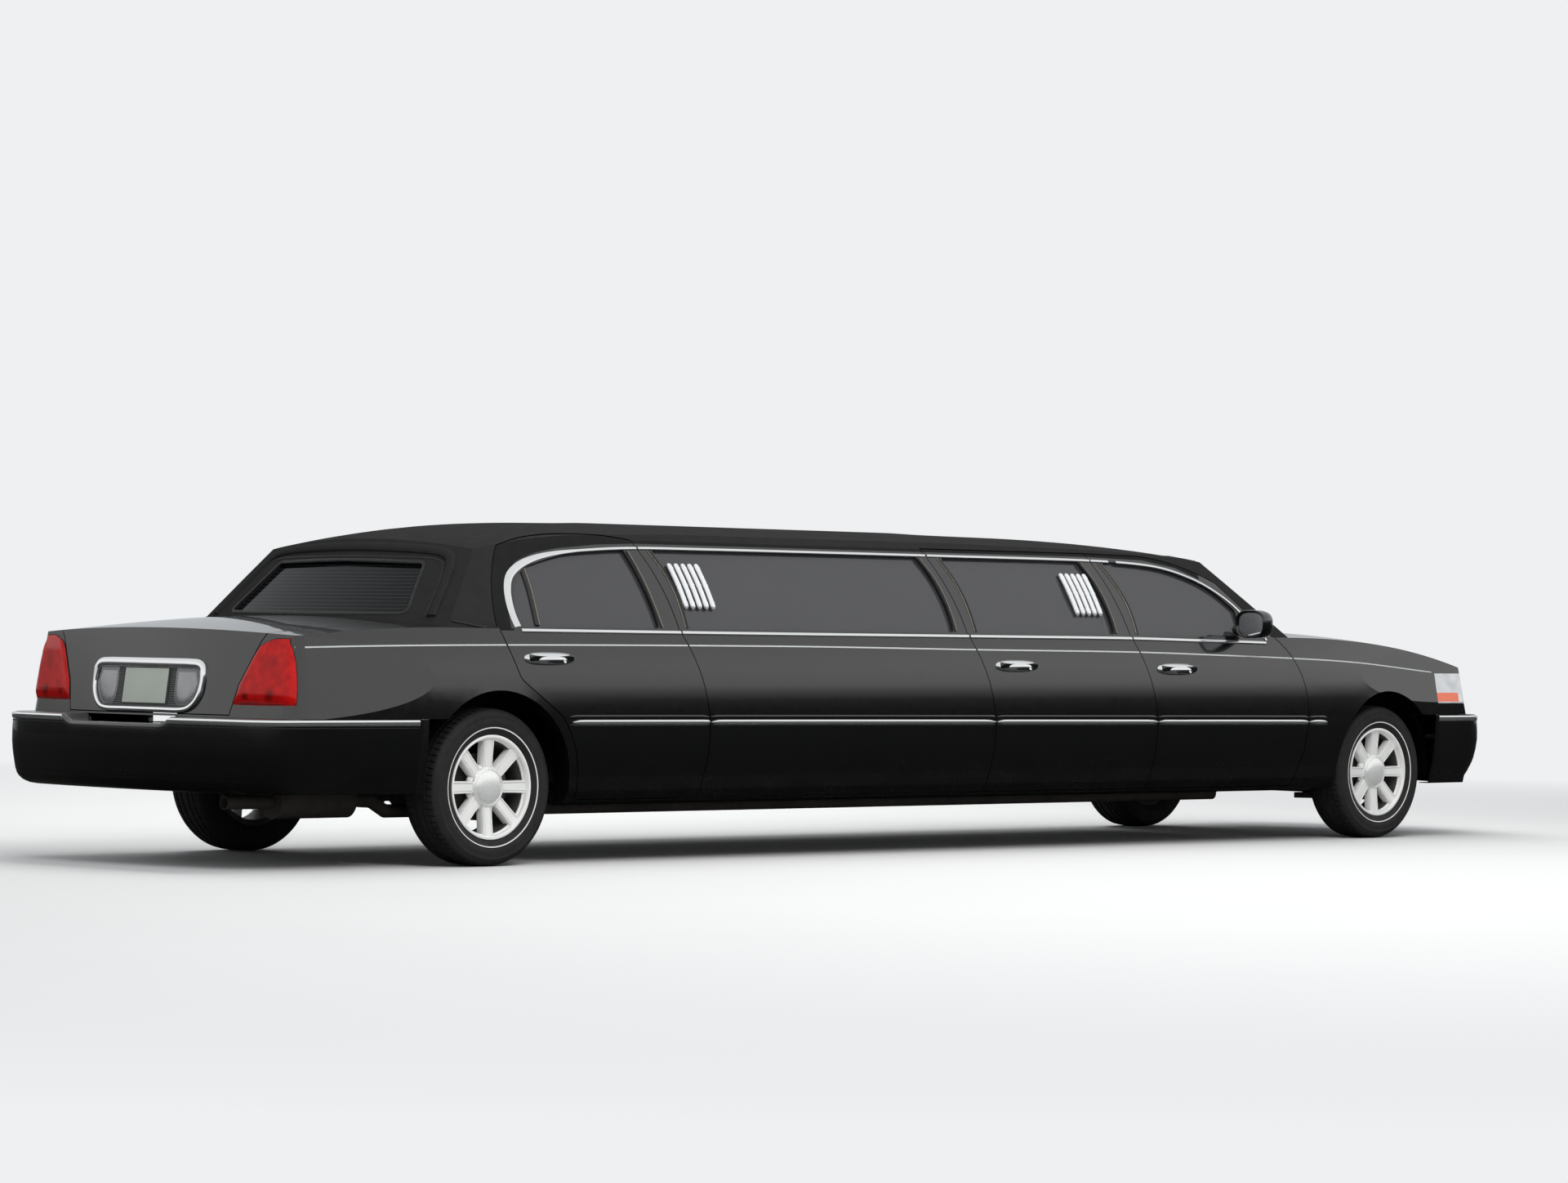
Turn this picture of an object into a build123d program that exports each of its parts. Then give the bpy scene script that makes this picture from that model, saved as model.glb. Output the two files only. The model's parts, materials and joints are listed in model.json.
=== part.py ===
from build123d import *
import math
import os

# Stretch limousine, in millimetres. +X is forward, +Y is to the left, +Z is up.
# The origin is on the ground, half way along and half way across the car.

# Overall sizes
overall_length = 8773.0
half_width = 993.0
wheelbase = 6292.0
rear_overhang = 1395.0
x_tail = -overall_length / 2
x_nose = overall_length / 2
x_rear_wheel = x_tail + rear_overhang
x_front_wheel = x_rear_wheel + wheelbase

# Body side, seen from the front
z_sill = 262.0
z_undercut = 330.0
z_crease = 392.0
z_widest = 640.0
z_belt = 1043.0
sill_tuck = 130.0
undercut_tuck = 60.0
panel_tuck = 32.0
crease_tuck = 25.0
belt_tuck = 66.0

# Greenhouse, seen from the front
belt_half_width = 921.0
roof_edge_half_width = 670.0
z_greenhouse_foot = 1046.0
z_roof = 1558.0
roof_crown = 58.0
roof_edge_radius = 110.0
side_lean = (belt_half_width - roof_edge_half_width) / (z_roof - roof_crown - z_greenhouse_foot)

# Walls and gaps
wall = 60.0
skin = 8.0
flange = 26.0
door_gap = 5.0
relief = 10.0
rest_gap = 0.3
lid_gap = 14.0
z_plan = 200.0
far_side = 1100.0
far_end = 5000.0
bumper_wall = 40.0
bumper_shelf = 330.0
bumper_inner_y = 880.0
tuck_draft = 22.0
glass_depth = 16.0
glass_thickness = 6.0
belly_step = 130.0
inner_drop = 120.0
cabin_span = (-3050.0, 2700.0)
cabin_wall_y = 560.0
door_inner_y = 905.0

# Wheels
tyre_radius = 351.0
tyre_width = 225.0
tyre_facets = 64
rim_radius = 232.0
front_track = 1610.0
rear_track = 1664.0
arch_radius = 430.0
spoke_count = 8
hub_bore_radius = 30.05
spindle_radius = 30.0
steering_axis_y = 735.0
arch_middle_y = 900.0
arch_depth = 560.0
wheelhouse_radius = arch_radius + 10
liner_thickness = 15.0
rear_liner_y = 600.0
front_liner_y = 480.0
axle_slot_top = 470.0
hub_radius = 88.0
spoke_width = 54.0
wheel_face = 62.0
knuckle_low = 232.0
knuckle_high = 470.0
kingpin_radius = 14.0
lower_arm = 30.0
upper_arm = 24.0
differential_radius = 120.0

# Ends of the body, seen from above
tail_face_x = -4285.0
tail_face_radius = 5200.0
tail_corner_radius = 170.0
tail_draft = 8.5
nose_face_x = 4351.0
nose_face_radius = 1900.0
nose_corner_radius = 120.0
nose_draft = 10.0
z_bumper_top = 655.0
bumper_line = z_bumper_top + rest_gap
bumper_corner_radius = 210.0
front_bumper_radius = 2000.0
rear_bumper_radius = 4600.0
bumper_draft = 7.0

# Windscreen and rear window: foot of the glass on the centre line, slope and plan radius
screen_foot_x = 2710.0
screen_slope = 1.43
screen_radius = 2400.0
rear_window_foot_x = -3373.0
rear_window_slope = 0.99
rear_window_radius = 2500.0
z_screen_foot = 1060.0

# Door cuts at the belt
rear_door_cut_x = -1848.0
mid_door_cut_x = 87.0
front_door_cut_x = 1285.0
z_door_foot = 292.0
z_door_head = 1466.0
cut_bulge = 124.0
front_door_nose_x = 2602.0

# Hinges of the doors and lids
hinge_setback = 95.0
hinge_inset = 26.0
hinge_pin_radius = 6.0
hinge_clearance = 0.05
hinge_barrel_radius = 11.0
hinge_half_height = 22.0
hinge_ear = 8.0
hinge_ear_radius = 9.0
hinge_pocket = 40.0
hinge_heights = (540.0, 760.0)
pillar_y = 848.0
pillar_top_z = 960.0
lid_front_x = -3440.0
lid_side_y = 735.0
lid_corner_low = 980.0
hood_rear_x = 2790.0
lid_setback = 110.0
lid_hinge_y = 640.0
lid_hinge_z = 1046.0
lid_eye_radius = 12.0
lid_eye_width = 30.0

# Handles, grille, plate surround and mirrors
handle_length = 280.0
handle_height = 46.0
handle_reach = 30.0
grille_bar_count = 23
grille_bar_pitch = 29.0
grille_face_x = 4275.0
grille_frame = 22.0
plate_proud = 14.0
plate_ring = 24.0
mirror_rear_x = 2060.0
mirror_y = 1040.0
mirror_z = 1125.0
mirror_width = 190.0
mirror_height = 146.0
mirror_depth = 150.0

# Chassis and floor
rail_y = 430.0
rail_width = 80.0
rail_depth = 110.0
rail_z = 215.0
rail_front_z = 400.0
rail_rear_z = 470.0
rail_points = (
    # x, z of the underside
    (4186.7, rail_front_z + 30), (3700.0, rail_front_z), (2750.0, rail_front_z), (2450.0, rail_z),
    (-2380.0, rail_z), (-2640.0, rail_rear_z), (-3450.0, rail_rear_z), (-3700.0, rail_front_z), (-4245.3, rail_front_z),
)
cross_member_rows = (
    # x, z of the middle
    (4100.0, 470.0), (2300.0, 270.0), (900.0, 270.0), (-500.0, 270.0), (-1900.0, 270.0), (-3900.0, 455.0),
)
floor_z = rail_z + rail_depth + rest_gap
floor_thickness = 20.0
boot_floor_z = rail_rear_z + rail_depth + rest_gap
boot_half_width = rear_liner_y - rest_gap
tunnel_top = 480.0
tunnel_half = 120.0
tunnel_wall = 15.0
firewall_x = 2560.0
bulkhead_x = -2480.0
inner_sill_y = 840.0
tub_rear_x = -2300.0
shelf_z = 940.0
engine_foot_z = 360.0
gearbox_rear_x = 2630.0
gearbox_output_z = 400.0
shaft_radius = 40.0
shaft_seat = 0.7
steering_wheel_radius = 185.0
pipe_y = -600.0
pipe_z = 240.0
tail_pipe_z = 290.0
pipe_radius = 30.0

# Lower body sections: x, half width, height of the shoulder, height of the middle, shoulder radius
rear_sections = [
    (-4500.0, 930.0, 990.0, 1026.0, 60.0),
    (-4080.0, 955.0, 1012.0, 1048.0, 62.0),
    (-3600.0, 976.0, 1048.0, 1094.0, 64.0),
    (-3150.0, 989.0, 1056.0, 1098.0, 50.0),
    (-2700.0, half_width, 1058.0, 1084.0, 24.0),
]
front_sections = [
    (2450.0, half_width, 1058.0, 1084.0, 24.0),
    (3000.0, 988.0, 1046.0, 1096.0, 60.0),
    (3500.0, 968.0, 998.0, 1062.0, 90.0),
    (3900.0, 945.0, 925.0, 1000.0, 90.0),
    (4500.0, 908.0, 745.0, 805.0, 80.0),
]
middle_sections = [rear_sections[-1], front_sections[0]]

# Roof sections: x, height of the middle, how far the side stands in at the belt
rear_roof = [
    (-3450.0, 1345.0, 56.0),
    (-2950.0, 1462.0, 14.0),
    (-2500.0, 1528.0, 0.0),
    (-2100.0, 1549.0, 0.0),
    (-1700.0, z_roof, 0.0),
]
front_roof = [
    (300.0, z_roof, 0.0),
    (1000.0, 1549.0, 0.0),
    (1600.0, 1533.0, 0.0),
    (2100.0, 1496.0, 0.0),
    (2700.0, 1420.0, 14.0),
]
middle_roof = [rear_roof[-1], front_roof[0]]

os.makedirs("parts", exist_ok=True)


def finish(part, label):
    part.label = label
    export_step(part, f"parts/{label}.step")


def side_y(width, z):
    """Half width of the body side at height z, on the arc through its three heights."""
    za, zb, zc = z_crease, z_widest, z_belt + 7
    ya, yb, yc = width - crease_tuck, width, width - belt_tuck
    d = 2 * (ya * (zb - zc) + yb * (zc - za) + yc * (za - zb))
    qa, qb, qc = ya * ya + za * za, yb * yb + zb * zb, yc * yc + zc * zc
    cy = (qa * (zb - zc) + qb * (zc - za) + qc * (za - zb)) / d
    cz = (qa * (yc - yb) + qb * (ya - yc) + qc * (yb - ya)) / d
    return cy + math.sqrt((ya - cy) ** 2 + (za - cz) ** 2 - (z - cz) ** 2)


def across(x):
    """Plane across the car at x, with its own x to the left and its own y up."""
    return Plane(origin=(x, 0, 0), x_dir=(0, 1, 0), z_dir=(1, 0, 0))


def lower_section(x, width, z_edge, z_middle, radius, inset):
    w = width - inset
    ze, zm, zs = z_edge - inset, z_middle - inset, z_sill + inset
    zu, zc = z_undercut + inset / 2, z_crease + inset / 4
    ye = side_y(w, ze)
    yc = side_y(w, zc)
    with BuildSketch(across(x)) as section:
        with BuildLine():
            Polyline(
                (-yc, zc), (panel_tuck - w, zu), (undercut_tuck - w, zs + 14), (sill_tuck - w, zs),
                (w - sill_tuck, zs), (w - undercut_tuck, zs + 14), (w - panel_tuck, zu), (yc, zc),
            )
            ThreePointArc((yc, zc), (w, z_widest), (ye, ze))
            ThreePointArc((ye, ze), (0, zm), (-ye, ze))
            ThreePointArc((-ye, ze), (-w, z_widest), (-yc, zc))
        make_face()
        shoulders = [v for v in section.vertices() if abs(v.Z - ze) < 0.01]
        fillet(shoulders, radius=max(radius - inset, 8))
    return section.sketch


def roof_section(x, z_middle, narrowing, inset):
    ze, zm = z_middle - roof_crown - inset, z_middle - inset
    lean = inset * math.sqrt(1 + side_lean**2) + narrowing
    ye = belt_half_width - side_lean * (ze - z_greenhouse_foot) - lean
    yf = belt_half_width - lean
    foot = z_greenhouse_foot - 120
    with BuildSketch(across(x)) as section:
        with BuildLine():
            Polyline(
                (-ye, ze), (-yf, z_greenhouse_foot), (-yf + 30, foot),
                (yf - 30, foot), (yf, z_greenhouse_foot), (ye, ze),
            )
            ThreePointArc((ye, ze), (0, zm), (-ye, ze))
        make_face()
        edges = [v for v in section.vertices() if abs(v.Z - ze) < 0.01]
        fillet(edges, radius=max(roof_edge_radius - inset, 20))
    return section.sketch


def loft_through(sections):
    with BuildPart() as run:
        for section in sections:
            add(section)
        loft()
    return run.part


def lower_form(inset):
    """Lower body from tail to nose, before its ends are cut to shape."""
    with BuildPart() as form:
        for rows in (rear_sections, middle_sections, front_sections):
            add(loft_through([lower_section(*row, inset) for row in rows]))
    return form.part


def upper_form(inset):
    """Greenhouse before the two windows cut its ends."""
    with BuildPart() as form:
        for rows in (rear_roof, middle_roof, front_roof):
            add(loft_through([roof_section(*row, inset) for row in rows]))
    return form.part


def plan_end(x_face, radius, corner, half, z_from, height, draft, forward):
    """Prism whose end is an arc in plan with rounded corners, narrowing with height by the draft angle."""
    sagitta = radius - math.sqrt(radius**2 - half**2)
    x_corner = x_face - forward * sagitta
    far = -forward * 6000.0
    with BuildPart() as prism:
        with BuildSketch(Plane.XY.offset(z_from)) as plan:
            with BuildLine():
                ThreePointArc((x_corner, -forward * half), (x_face, 0), (x_corner, forward * half))
                Polyline(
                    (x_corner, forward * half), (far, forward * (half + 600)),
                    (far, -forward * (half + 600)), (x_corner, -forward * half),
                )
            make_face()
            corners = [v for v in plan.vertices() if abs(v.X - x_corner) < 0.01]
            fillet(corners, radius=corner)
        extrude(amount=height, taper=draft)
    return prism.part


def nose_prism(inset):
    return plan_end(nose_face_x - inset, nose_face_radius, nose_corner_radius, 1026.0, 200.0, 1100.0, nose_draft, 1)


def tail_prism(inset):
    return plan_end(tail_face_x + inset, tail_face_radius, tail_corner_radius, 1016.0, 200.0, 1100.0, tail_draft, -1)


def lower_hull(inset):
    with BuildPart() as hull:
        add(lower_form(inset))
        add(tail_prism(inset), mode=Mode.INTERSECT)
        add(nose_prism(inset), mode=Mode.INTERSECT)
    return hull.part


def leaning_prism(x_foot, slope, radius, forward, inset):
    """Space behind a window: its plan is an arc, carried up along the slope of the glass."""
    half = 1200.0
    x_face = x_foot - forward * inset * math.sqrt(1 + slope**2)
    sagitta = radius - math.sqrt(radius**2 - half**2)
    rise = 900.0
    below = 300.0
    x_low = x_face + forward * slope * below
    with BuildPart() as prism:
        with BuildSketch(Plane.XY.offset(z_screen_foot - below)) as plan:
            with BuildLine():
                xc = x_low - forward * sagitta
                far = x_low - forward * 9000.0
                ThreePointArc((xc, -forward * half), (x_low, 0), (xc, forward * half))
                Polyline(
                    (xc, forward * half), (far, forward * half), (far, -forward * half), (xc, -forward * half)
                )
            make_face()
        direction = Vector(-forward * slope, 0, 1)
        extrude(amount=rise * direction.length, dir=direction.normalized())
    return prism.part


def upper_hull(inset):
    with BuildPart() as hull:
        add(upper_form(inset))
        add(leaning_prism(screen_foot_x, screen_slope, screen_radius, 1, inset), mode=Mode.INTERSECT)
        add(leaning_prism(rear_window_foot_x, rear_window_slope, rear_window_radius, -1, inset), mode=Mode.INTERSECT)
    return hull.part


def whole_hull(inset):
    with BuildPart() as hull:
        add(lower_hull(inset))
        add(upper_hull(inset))
    return hull.part


def slab(outline, depth=far_side):
    """Prism from the middle plane to the left, from an outline in side view."""
    with BuildPart() as prism:
        with BuildSketch(Plane.XZ):
            add(outline)
        extrude(amount=-depth)
    return prism.part


def grown(outline, amount):
    """The same outline, larger by the amount all round."""
    with BuildSketch(Plane.XZ) as sketch:
        add(outline)
        offset(amount=amount, kind=Kind.INTERSECTION)
    return sketch.sketch


def upper_cut(x_belt, head=z_door_head):
    return ThreePointArc((x_belt - 104, head), (x_belt - 12, 1250), (x_belt, z_belt))


def lower_cut(x_belt):
    return ThreePointArc((x_belt, z_belt), (x_belt + cut_bulge, 690), (x_belt + cut_bulge - 34, z_door_foot))


def front_door_outline():
    xd = front_door_cut_x
    with BuildSketch(Plane.XZ) as outline:
        with BuildLine():
            upper_cut(xd)
            lower_cut(xd)
            Line((xd + cut_bulge - 34, z_door_foot), (2508, z_door_foot))
            ThreePointArc((2508, z_door_foot), (2582, 480), (2602, 710))
            ThreePointArc((2602, 710), (2562, 872), (2416, z_belt))
            Line((2416, z_belt), (2110, 1332))
            ThreePointArc((2110, 1332), (1850, 1420), (1500, 1461))
            Line((1500, 1461), (xd - 104, z_door_head))
        make_face()
    return outline.sketch


def mid_door_outline():
    xc = mid_door_cut_x
    xd = front_door_cut_x - door_gap
    with BuildSketch(Plane.XZ) as outline:
        with BuildLine():
            upper_cut(xc)
            lower_cut(xc)
            Line((xc + cut_bulge - 34, z_door_foot), (xd + cut_bulge - 34, z_door_foot))
            lower_cut(xd)
            upper_cut(xd)
            Line((xd - 104, z_door_head), (xc - 104, z_door_head))
        make_face()
    return outline.sketch


def rear_door_outline():
    xb = rear_door_cut_x
    ring = 482.0
    low = z_door_foot - tyre_radius
    foot = (x_rear_wheel + math.sqrt(ring**2 - low**2), z_door_foot)
    turn = math.radians(42)
    shoulder = (x_rear_wheel + ring * math.cos(turn), tyre_radius + ring * math.sin(turn))
    half = turn / 2
    middle = (x_rear_wheel + ring * math.cos(half), tyre_radius + ring * math.sin(half))
    with BuildSketch(Plane.XZ) as outline:
        with BuildLine():
            upper_cut(xb)
            lower_cut(xb)
            Line((xb + cut_bulge - 34, z_door_foot), foot)
            ThreePointArc(foot, middle, shoulder)
            Line(shoulder, (-2862, 832))
            Line((-2862, 832), (-2947, z_belt))
            ThreePointArc((-2947, z_belt), (-2904, 1215), (-2785, 1426))
            ThreePointArc((-2785, 1426), (-2400, 1484), (xb - 104, z_door_head))
        make_face()
        fillet([v for v in outline.vertices() if abs(v.X + 2862) < 1], radius=60)
        fillet([v for v in outline.vertices() if abs(v.X + 2785) < 1], radius=40)
    return outline.sketch


def fixed_panel_outline(x_rear, x_front):
    with BuildSketch(Plane.XZ) as outline:
        with BuildLine():
            upper_cut(x_rear)
            lower_cut(x_rear)
            Line((x_rear + cut_bulge - 34, z_door_foot), (x_front + cut_bulge - 34, z_door_foot))
            lower_cut(x_front)
            upper_cut(x_front)
            Line((x_front - 104, z_door_head), (x_rear - 104, z_door_head))
        make_face()
    return outline.sketch


z_window_foot = 1062.0
z_window_head = 1428.0


def straight_window(x_rear, x_front):
    """Window between two slanted pillars, placed by its foot."""
    with BuildSketch(Plane.XZ) as outline:
        with BuildLine():
            ThreePointArc((x_rear - 66, z_window_head), (x_rear + 10, 1240), (x_rear, z_window_foot))
            Line((x_rear, z_window_foot), (x_front, z_window_foot))
            ThreePointArc((x_front, z_window_foot), (x_front + 10, 1240), (x_front - 66, z_window_head))
            Line((x_front - 66, z_window_head), (x_rear - 66, z_window_head))
        make_face()
        fillet(outline.vertices(), radius=14)
    return outline.sketch


def rear_window_side():
    with BuildSketch(Plane.XZ) as outline:
        with BuildLine():
            Line((-2800, z_window_foot), (-1966, z_window_foot))
            ThreePointArc((-1966, z_window_foot), (-1970, 1240), (-2018, 1424))
            ThreePointArc((-2018, 1424), (-2350, 1402), (-2600, 1350))
            ThreePointArc((-2600, 1350), (-2758, 1250), (-2800, z_window_foot))
        make_face()
        fillet([v for v in outline.vertices() if v.X < -2700 or v.X > -2100], radius=14)
    return outline.sketch


def front_window_side():
    with BuildSketch(Plane.XZ) as outline:
        with BuildLine():
            ThreePointArc((1276, 1430), (1368, 1240), (1352, z_window_foot))
            Line((1352, z_window_foot), (2160, z_window_foot))
            Line((2160, z_window_foot), (2184, 1196))
            ThreePointArc((2184, 1196), (2030, 1308), (1800, 1386))
            ThreePointArc((1800, 1386), (1560, 1418), (1276, 1430))
        make_face()
        fillet([v for v in outline.vertices() if v.Z < 1200 or v.X < 1300], radius=14)
    return outline.sketch


def inner_lower_section(x, width, z_edge, z_middle):
    """Inside of the lower wall at x, in straight lines."""
    w = width - wall
    with BuildSketch(across(x)) as section:
        with BuildLine():
            right = [
                (w - belly_step, z_undercut), (w - panel_tuck, z_crease - 25), (w, z_widest),
                (side_y(w, z_edge - wall), z_edge - wall), (0, z_middle - wall),
            ]
            left = [(-y, z) for y, z in reversed(right) if y > 0]
            Polyline(*right, *left, right[0])
        make_face()
    return section.sketch


def inner_roof_section(x, z_middle, narrowing):
    """Inside of the greenhouse wall at x, in straight lines."""
    ze = z_middle - roof_crown - wall
    lean = wall * math.sqrt(1 + side_lean**2) + narrowing
    yf = belt_half_width - lean
    right = [
        (yf - 30, z_greenhouse_foot - inner_drop), (yf, z_greenhouse_foot),
        (yf - side_lean * (ze - z_greenhouse_foot), ze), (0, z_middle - wall),
    ]
    left = [(-y, z) for y, z in reversed(right) if y > 0]
    with BuildSketch(across(x)) as section:
        with BuildLine():
            Polyline(*right, *left, right[0])
        make_face()
    return section.sketch


def box_between(x0, x1, y0, y1, z0, z1):
    with BuildPart() as block:
        with Locations(((x0 + x1) / 2, (y0 + y1) / 2, (z0 + z1) / 2)):
            Box(abs(x1 - x0), abs(y1 - y0), abs(z1 - z0))
    return block.part


def meet(a, b):
    with BuildPart() as both:
        add(a)
        add(b, mode=Mode.INTERSECT)
    return both.part


def without(a, b):
    with BuildPart() as rest:
        add(a)
        add(b, mode=Mode.SUBTRACT)
    return rest.part


def front_prism(points, x0, x1, growth=0.0):
    """Prism along the car from half an outline seen from the front (y, z)."""
    outline = points + [(-y, z) for y, z in reversed(points) if y > 0]
    with BuildPart() as prism:
        with BuildSketch(across(x0)) as face:
            with BuildLine():
                Polyline(*outline, outline[0])
            make_face()
            if growth:
                offset(amount=growth, kind=Kind.INTERSECTION)
        extrude(amount=x1 - x0)
    return prism.part


def plan_prism(points, z0, z1, growth=0.0):
    """Upright prism from half an outline in plan (x, y)."""
    outline = points + [(x, -y) for x, y in reversed(points) if y > 0]
    with BuildPart() as prism:
        with BuildSketch(Plane.XY.offset(z0)) as face:
            with BuildLine():
                Polyline(*outline, outline[0])
            make_face()
            if growth:
                offset(amount=growth, kind=Kind.INTERSECTION)
        extrude(amount=z1 - z0)
    return prism.part


# Body shell: outer form less inner form, open below and at the wheels
hull_lower = lower_hull(0)
hull_upper = upper_hull(0)
with BuildPart() as inner_lower:
    for rows in (rear_sections, middle_sections, front_sections):
        add(loft_through([inner_lower_section(*row[:4]) for row in rows]))
    add(tail_prism(wall), mode=Mode.INTERSECT)
    add(nose_prism(wall), mode=Mode.INTERSECT)
with BuildPart() as inner_upper:
    for rows in (rear_roof, middle_roof, front_roof):
        add(loft_through([inner_roof_section(*row) for row in rows]))
    add(leaning_prism(screen_foot_x, screen_slope, screen_radius, 1, wall), mode=Mode.INTERSECT)
    add(leaning_prism(rear_window_foot_x, rear_window_slope, rear_window_radius, -1, wall), mode=Mode.INTERSECT)
hull_skin = whole_hull(skin)

with BuildPart() as belly:
    with Locations((0, 0, z_sill)):
        Box(overall_length, 2 * (half_width - sill_tuck), 2 * (z_undercut - z_sill + 20))

with BuildPart() as arches:
    for x in (x_rear_wheel, x_front_wheel):
        for side in (-1, 1):
            with Locations(Location((x, side * arch_middle_y, tyre_radius), (90, 0, 0))):
                Cylinder(arch_radius, arch_depth)

with BuildPart() as lower_shell:
    add(hull_lower)
    add(inner_lower.part, mode=Mode.SUBTRACT)
    add(inner_upper.part, mode=Mode.SUBTRACT)
    add(belly.part, mode=Mode.SUBTRACT)
    add(arches.part, mode=Mode.SUBTRACT)

with BuildPart() as upper_shell:
    add(hull_upper)
    add(inner_upper.part, mode=Mode.SUBTRACT)
    add(hull_lower, mode=Mode.SUBTRACT)

glass_outer = upper_hull(glass_depth)
glass_inner = upper_hull(glass_depth + glass_thickness)
glass_layer = without(glass_outer, glass_inner)

# Left wall of the cabin, its inner layers and its layer of glass, where doors and side panels are cut from
wall_block = box_between(*cabin_span, cabin_wall_y, far_side, z_sill - 10, z_roof)
with BuildPart() as side_wall:
    add(lower_shell.part)
    add(upper_shell.part)
    add(wall_block, mode=Mode.INTERSECT)
side_inner_layers = meet(hull_skin, wall_block)
side_glass_layer = meet(glass_layer, wall_block)


def to_side(piece, side):
    """A piece made on the left, kept there or mirrored to the right."""
    return piece if side > 0 else mirror(piece, about=Plane.XZ)


def door_panel(outline, window, x_foremost, handle_x, handle_z):
    """One door on the left: the wall inside its outline, its inner layers stepped back behind the skin."""
    xh = x_foremost - hinge_setback
    with BuildPart() as edge:
        add(slab(outline))
        add(slab(grown(outline, -flange), far_side + 1), mode=Mode.SUBTRACT)
        for z in hinge_heights:
            add(box_between(xh - 22, x_foremost + 20, cabin_wall_y, 1000, z - hinge_pocket, z + hinge_pocket))
        add(side_inner_layers, mode=Mode.INTERSECT)
    with BuildPart() as panel:
        add(side_wall.part)
        add(slab(outline), mode=Mode.INTERSECT)
        add(edge.part, mode=Mode.SUBTRACT)
        add(slab(window), mode=Mode.SUBTRACT)
        add(box_between(-far_end, far_end, -door_inner_y, door_inner_y, 200, z_crease), mode=Mode.SUBTRACT)
        for z in hinge_heights:
            z0, z1 = z - hinge_half_height, z + hinge_half_height
            with Locations((xh, hinge_y, z)):
                Cylinder(hinge_barrel_radius, 2 * hinge_half_height)
            add(box_between(xh - hinge_barrel_radius, xh + 5, hinge_y, half_width - skin - 2, z0, z1))
            with Locations((xh, hinge_y, z)):
                Cylinder(hinge_pin_radius + hinge_clearance, 2 * hinge_pocket, mode=Mode.SUBTRACT)
        with BuildSketch(Plane.XZ.offset(4 - side_y(half_width, handle_z))):
            with Locations((handle_x, handle_z)):
                SlotOverall(handle_length, handle_height)
        extrude(amount=-handle_reach, taper=24)
    return panel.part


def pane(window):
    return meet(side_glass_layer, slab(window))


hinge_y = half_width - hinge_inset
door_rows = (
    # name, sides, outline, window, foremost x, x and z of the handle
    ("front", (-1, 1), front_door_outline(), front_window_side(), front_door_nose_x, 1585.0, 892.0),
    ("mid", (-1,), mid_door_outline(), straight_window(161, 1168), front_door_cut_x - door_gap + cut_bulge, 388.0, 903.0),
    ("rear", (-1, 1), rear_door_outline(), rear_window_side(), rear_door_cut_x + cut_bulge, -2686.0, 923.0),
)
panel_rows = (
    # side, outline, window: one panel short on the right, one long on the left
    (-1, fixed_panel_outline(rear_door_cut_x + door_gap, mid_door_cut_x - door_gap), straight_window(-1781, -6)),
    (1, fixed_panel_outline(rear_door_cut_x + door_gap, front_door_cut_x - door_gap), straight_window(-1781, 1190)),
)
side_names = {-1: "right", 1: "left"}
for name, sides, outline, window, *places in door_rows:
    panel = door_panel(outline, window, *places)
    glass = pane(window)
    for side in sides:
        finish(to_side(panel, side), f"{name}_door_{side_names[side]}")
        finish(to_side(glass, side), f"{name}_door_glass_{side_names[side]}")

with BuildPart() as side_panels:
    for side, outline, window in panel_rows:
        panel = without(meet(side_wall.part, slab(outline)), slab(window))
        add(to_side(panel, side))
finish(side_panels.part, "side_panels")
with BuildPart() as side_glass:
    for side, outline, window in panel_rows:
        add(to_side(pane(window), side))
finish(side_glass.part, "side_glass")

# Space of the doors and side panels with their gaps, for what stands round them
door_spaces = {}
for side in (-1, 1):
    outlines = [row[2] for row in door_rows if side in row[1]]
    with BuildPart() as space:
        for outline in outlines:
            add(meet(side_inner_layers, slab(grown(outline, door_gap + relief))))
        for outline in outlines:
            add(slab(grown(outline, door_gap)))
        for panel_side, outline, window in panel_rows:
            if panel_side == side:
                add(slab(grown(outline, rest_gap)))
    door_spaces[side] = to_side(space.part, side)

# Roof with its pillars, and the two end windows
screen_outline = [(0, 1108), (790, 1090), (640, 1440), (0, 1462)]
rear_window_outline = [(0, 1118), (612, 1122), (505, 1338), (0, 1350)]
window_rows = (
    ("windscreen", screen_outline, 1700, 3200),
    ("rear_window", rear_window_outline, -3700, -2700),
)
with BuildPart() as roof:
    add(upper_shell.part)
    for side in (-1, 1):
        add(door_spaces[side], mode=Mode.SUBTRACT)
    for name, outline, x0, x1 in window_rows:
        add(front_prism(outline, x0, x1, rest_gap), mode=Mode.SUBTRACT)
finish(roof.part, "roof")
for name, outline, x0, x1 in window_rows:
    window = meet(glass_layer, front_prism(outline, x0, x1))
    finish(window, name)


def add_lid_hinges(x_axis, forward):
    """Pockets, eyes and bores of a lid's two hinges, in the part being built."""
    pocket_x0 = x_axis - forward * 30
    pocket_x1 = x_axis + forward * (lid_setback + 4)
    for side in (-1, 1):
        y_eye = side * lid_hinge_y
        y0 = y_eye - side * 20
        y1 = y_eye + side * 38
        add(box_between(pocket_x0, pocket_x1, y0, y1, 900, lid_hinge_z + 18), mode=Mode.SUBTRACT)
        with Locations(Location((x_axis, y_eye, lid_hinge_z), (90, 0, 0))):
            Cylinder(lid_eye_radius, lid_eye_width)
        with Locations((x_axis, y_eye, lid_hinge_z + 11)):
            Box(16, lid_eye_width, 20)
        with Locations(Location((x_axis, y_eye, lid_hinge_z), (90, 0, 0))):
            Cylinder(hinge_pin_radius + hinge_clearance, 60, mode=Mode.SUBTRACT)


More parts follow.
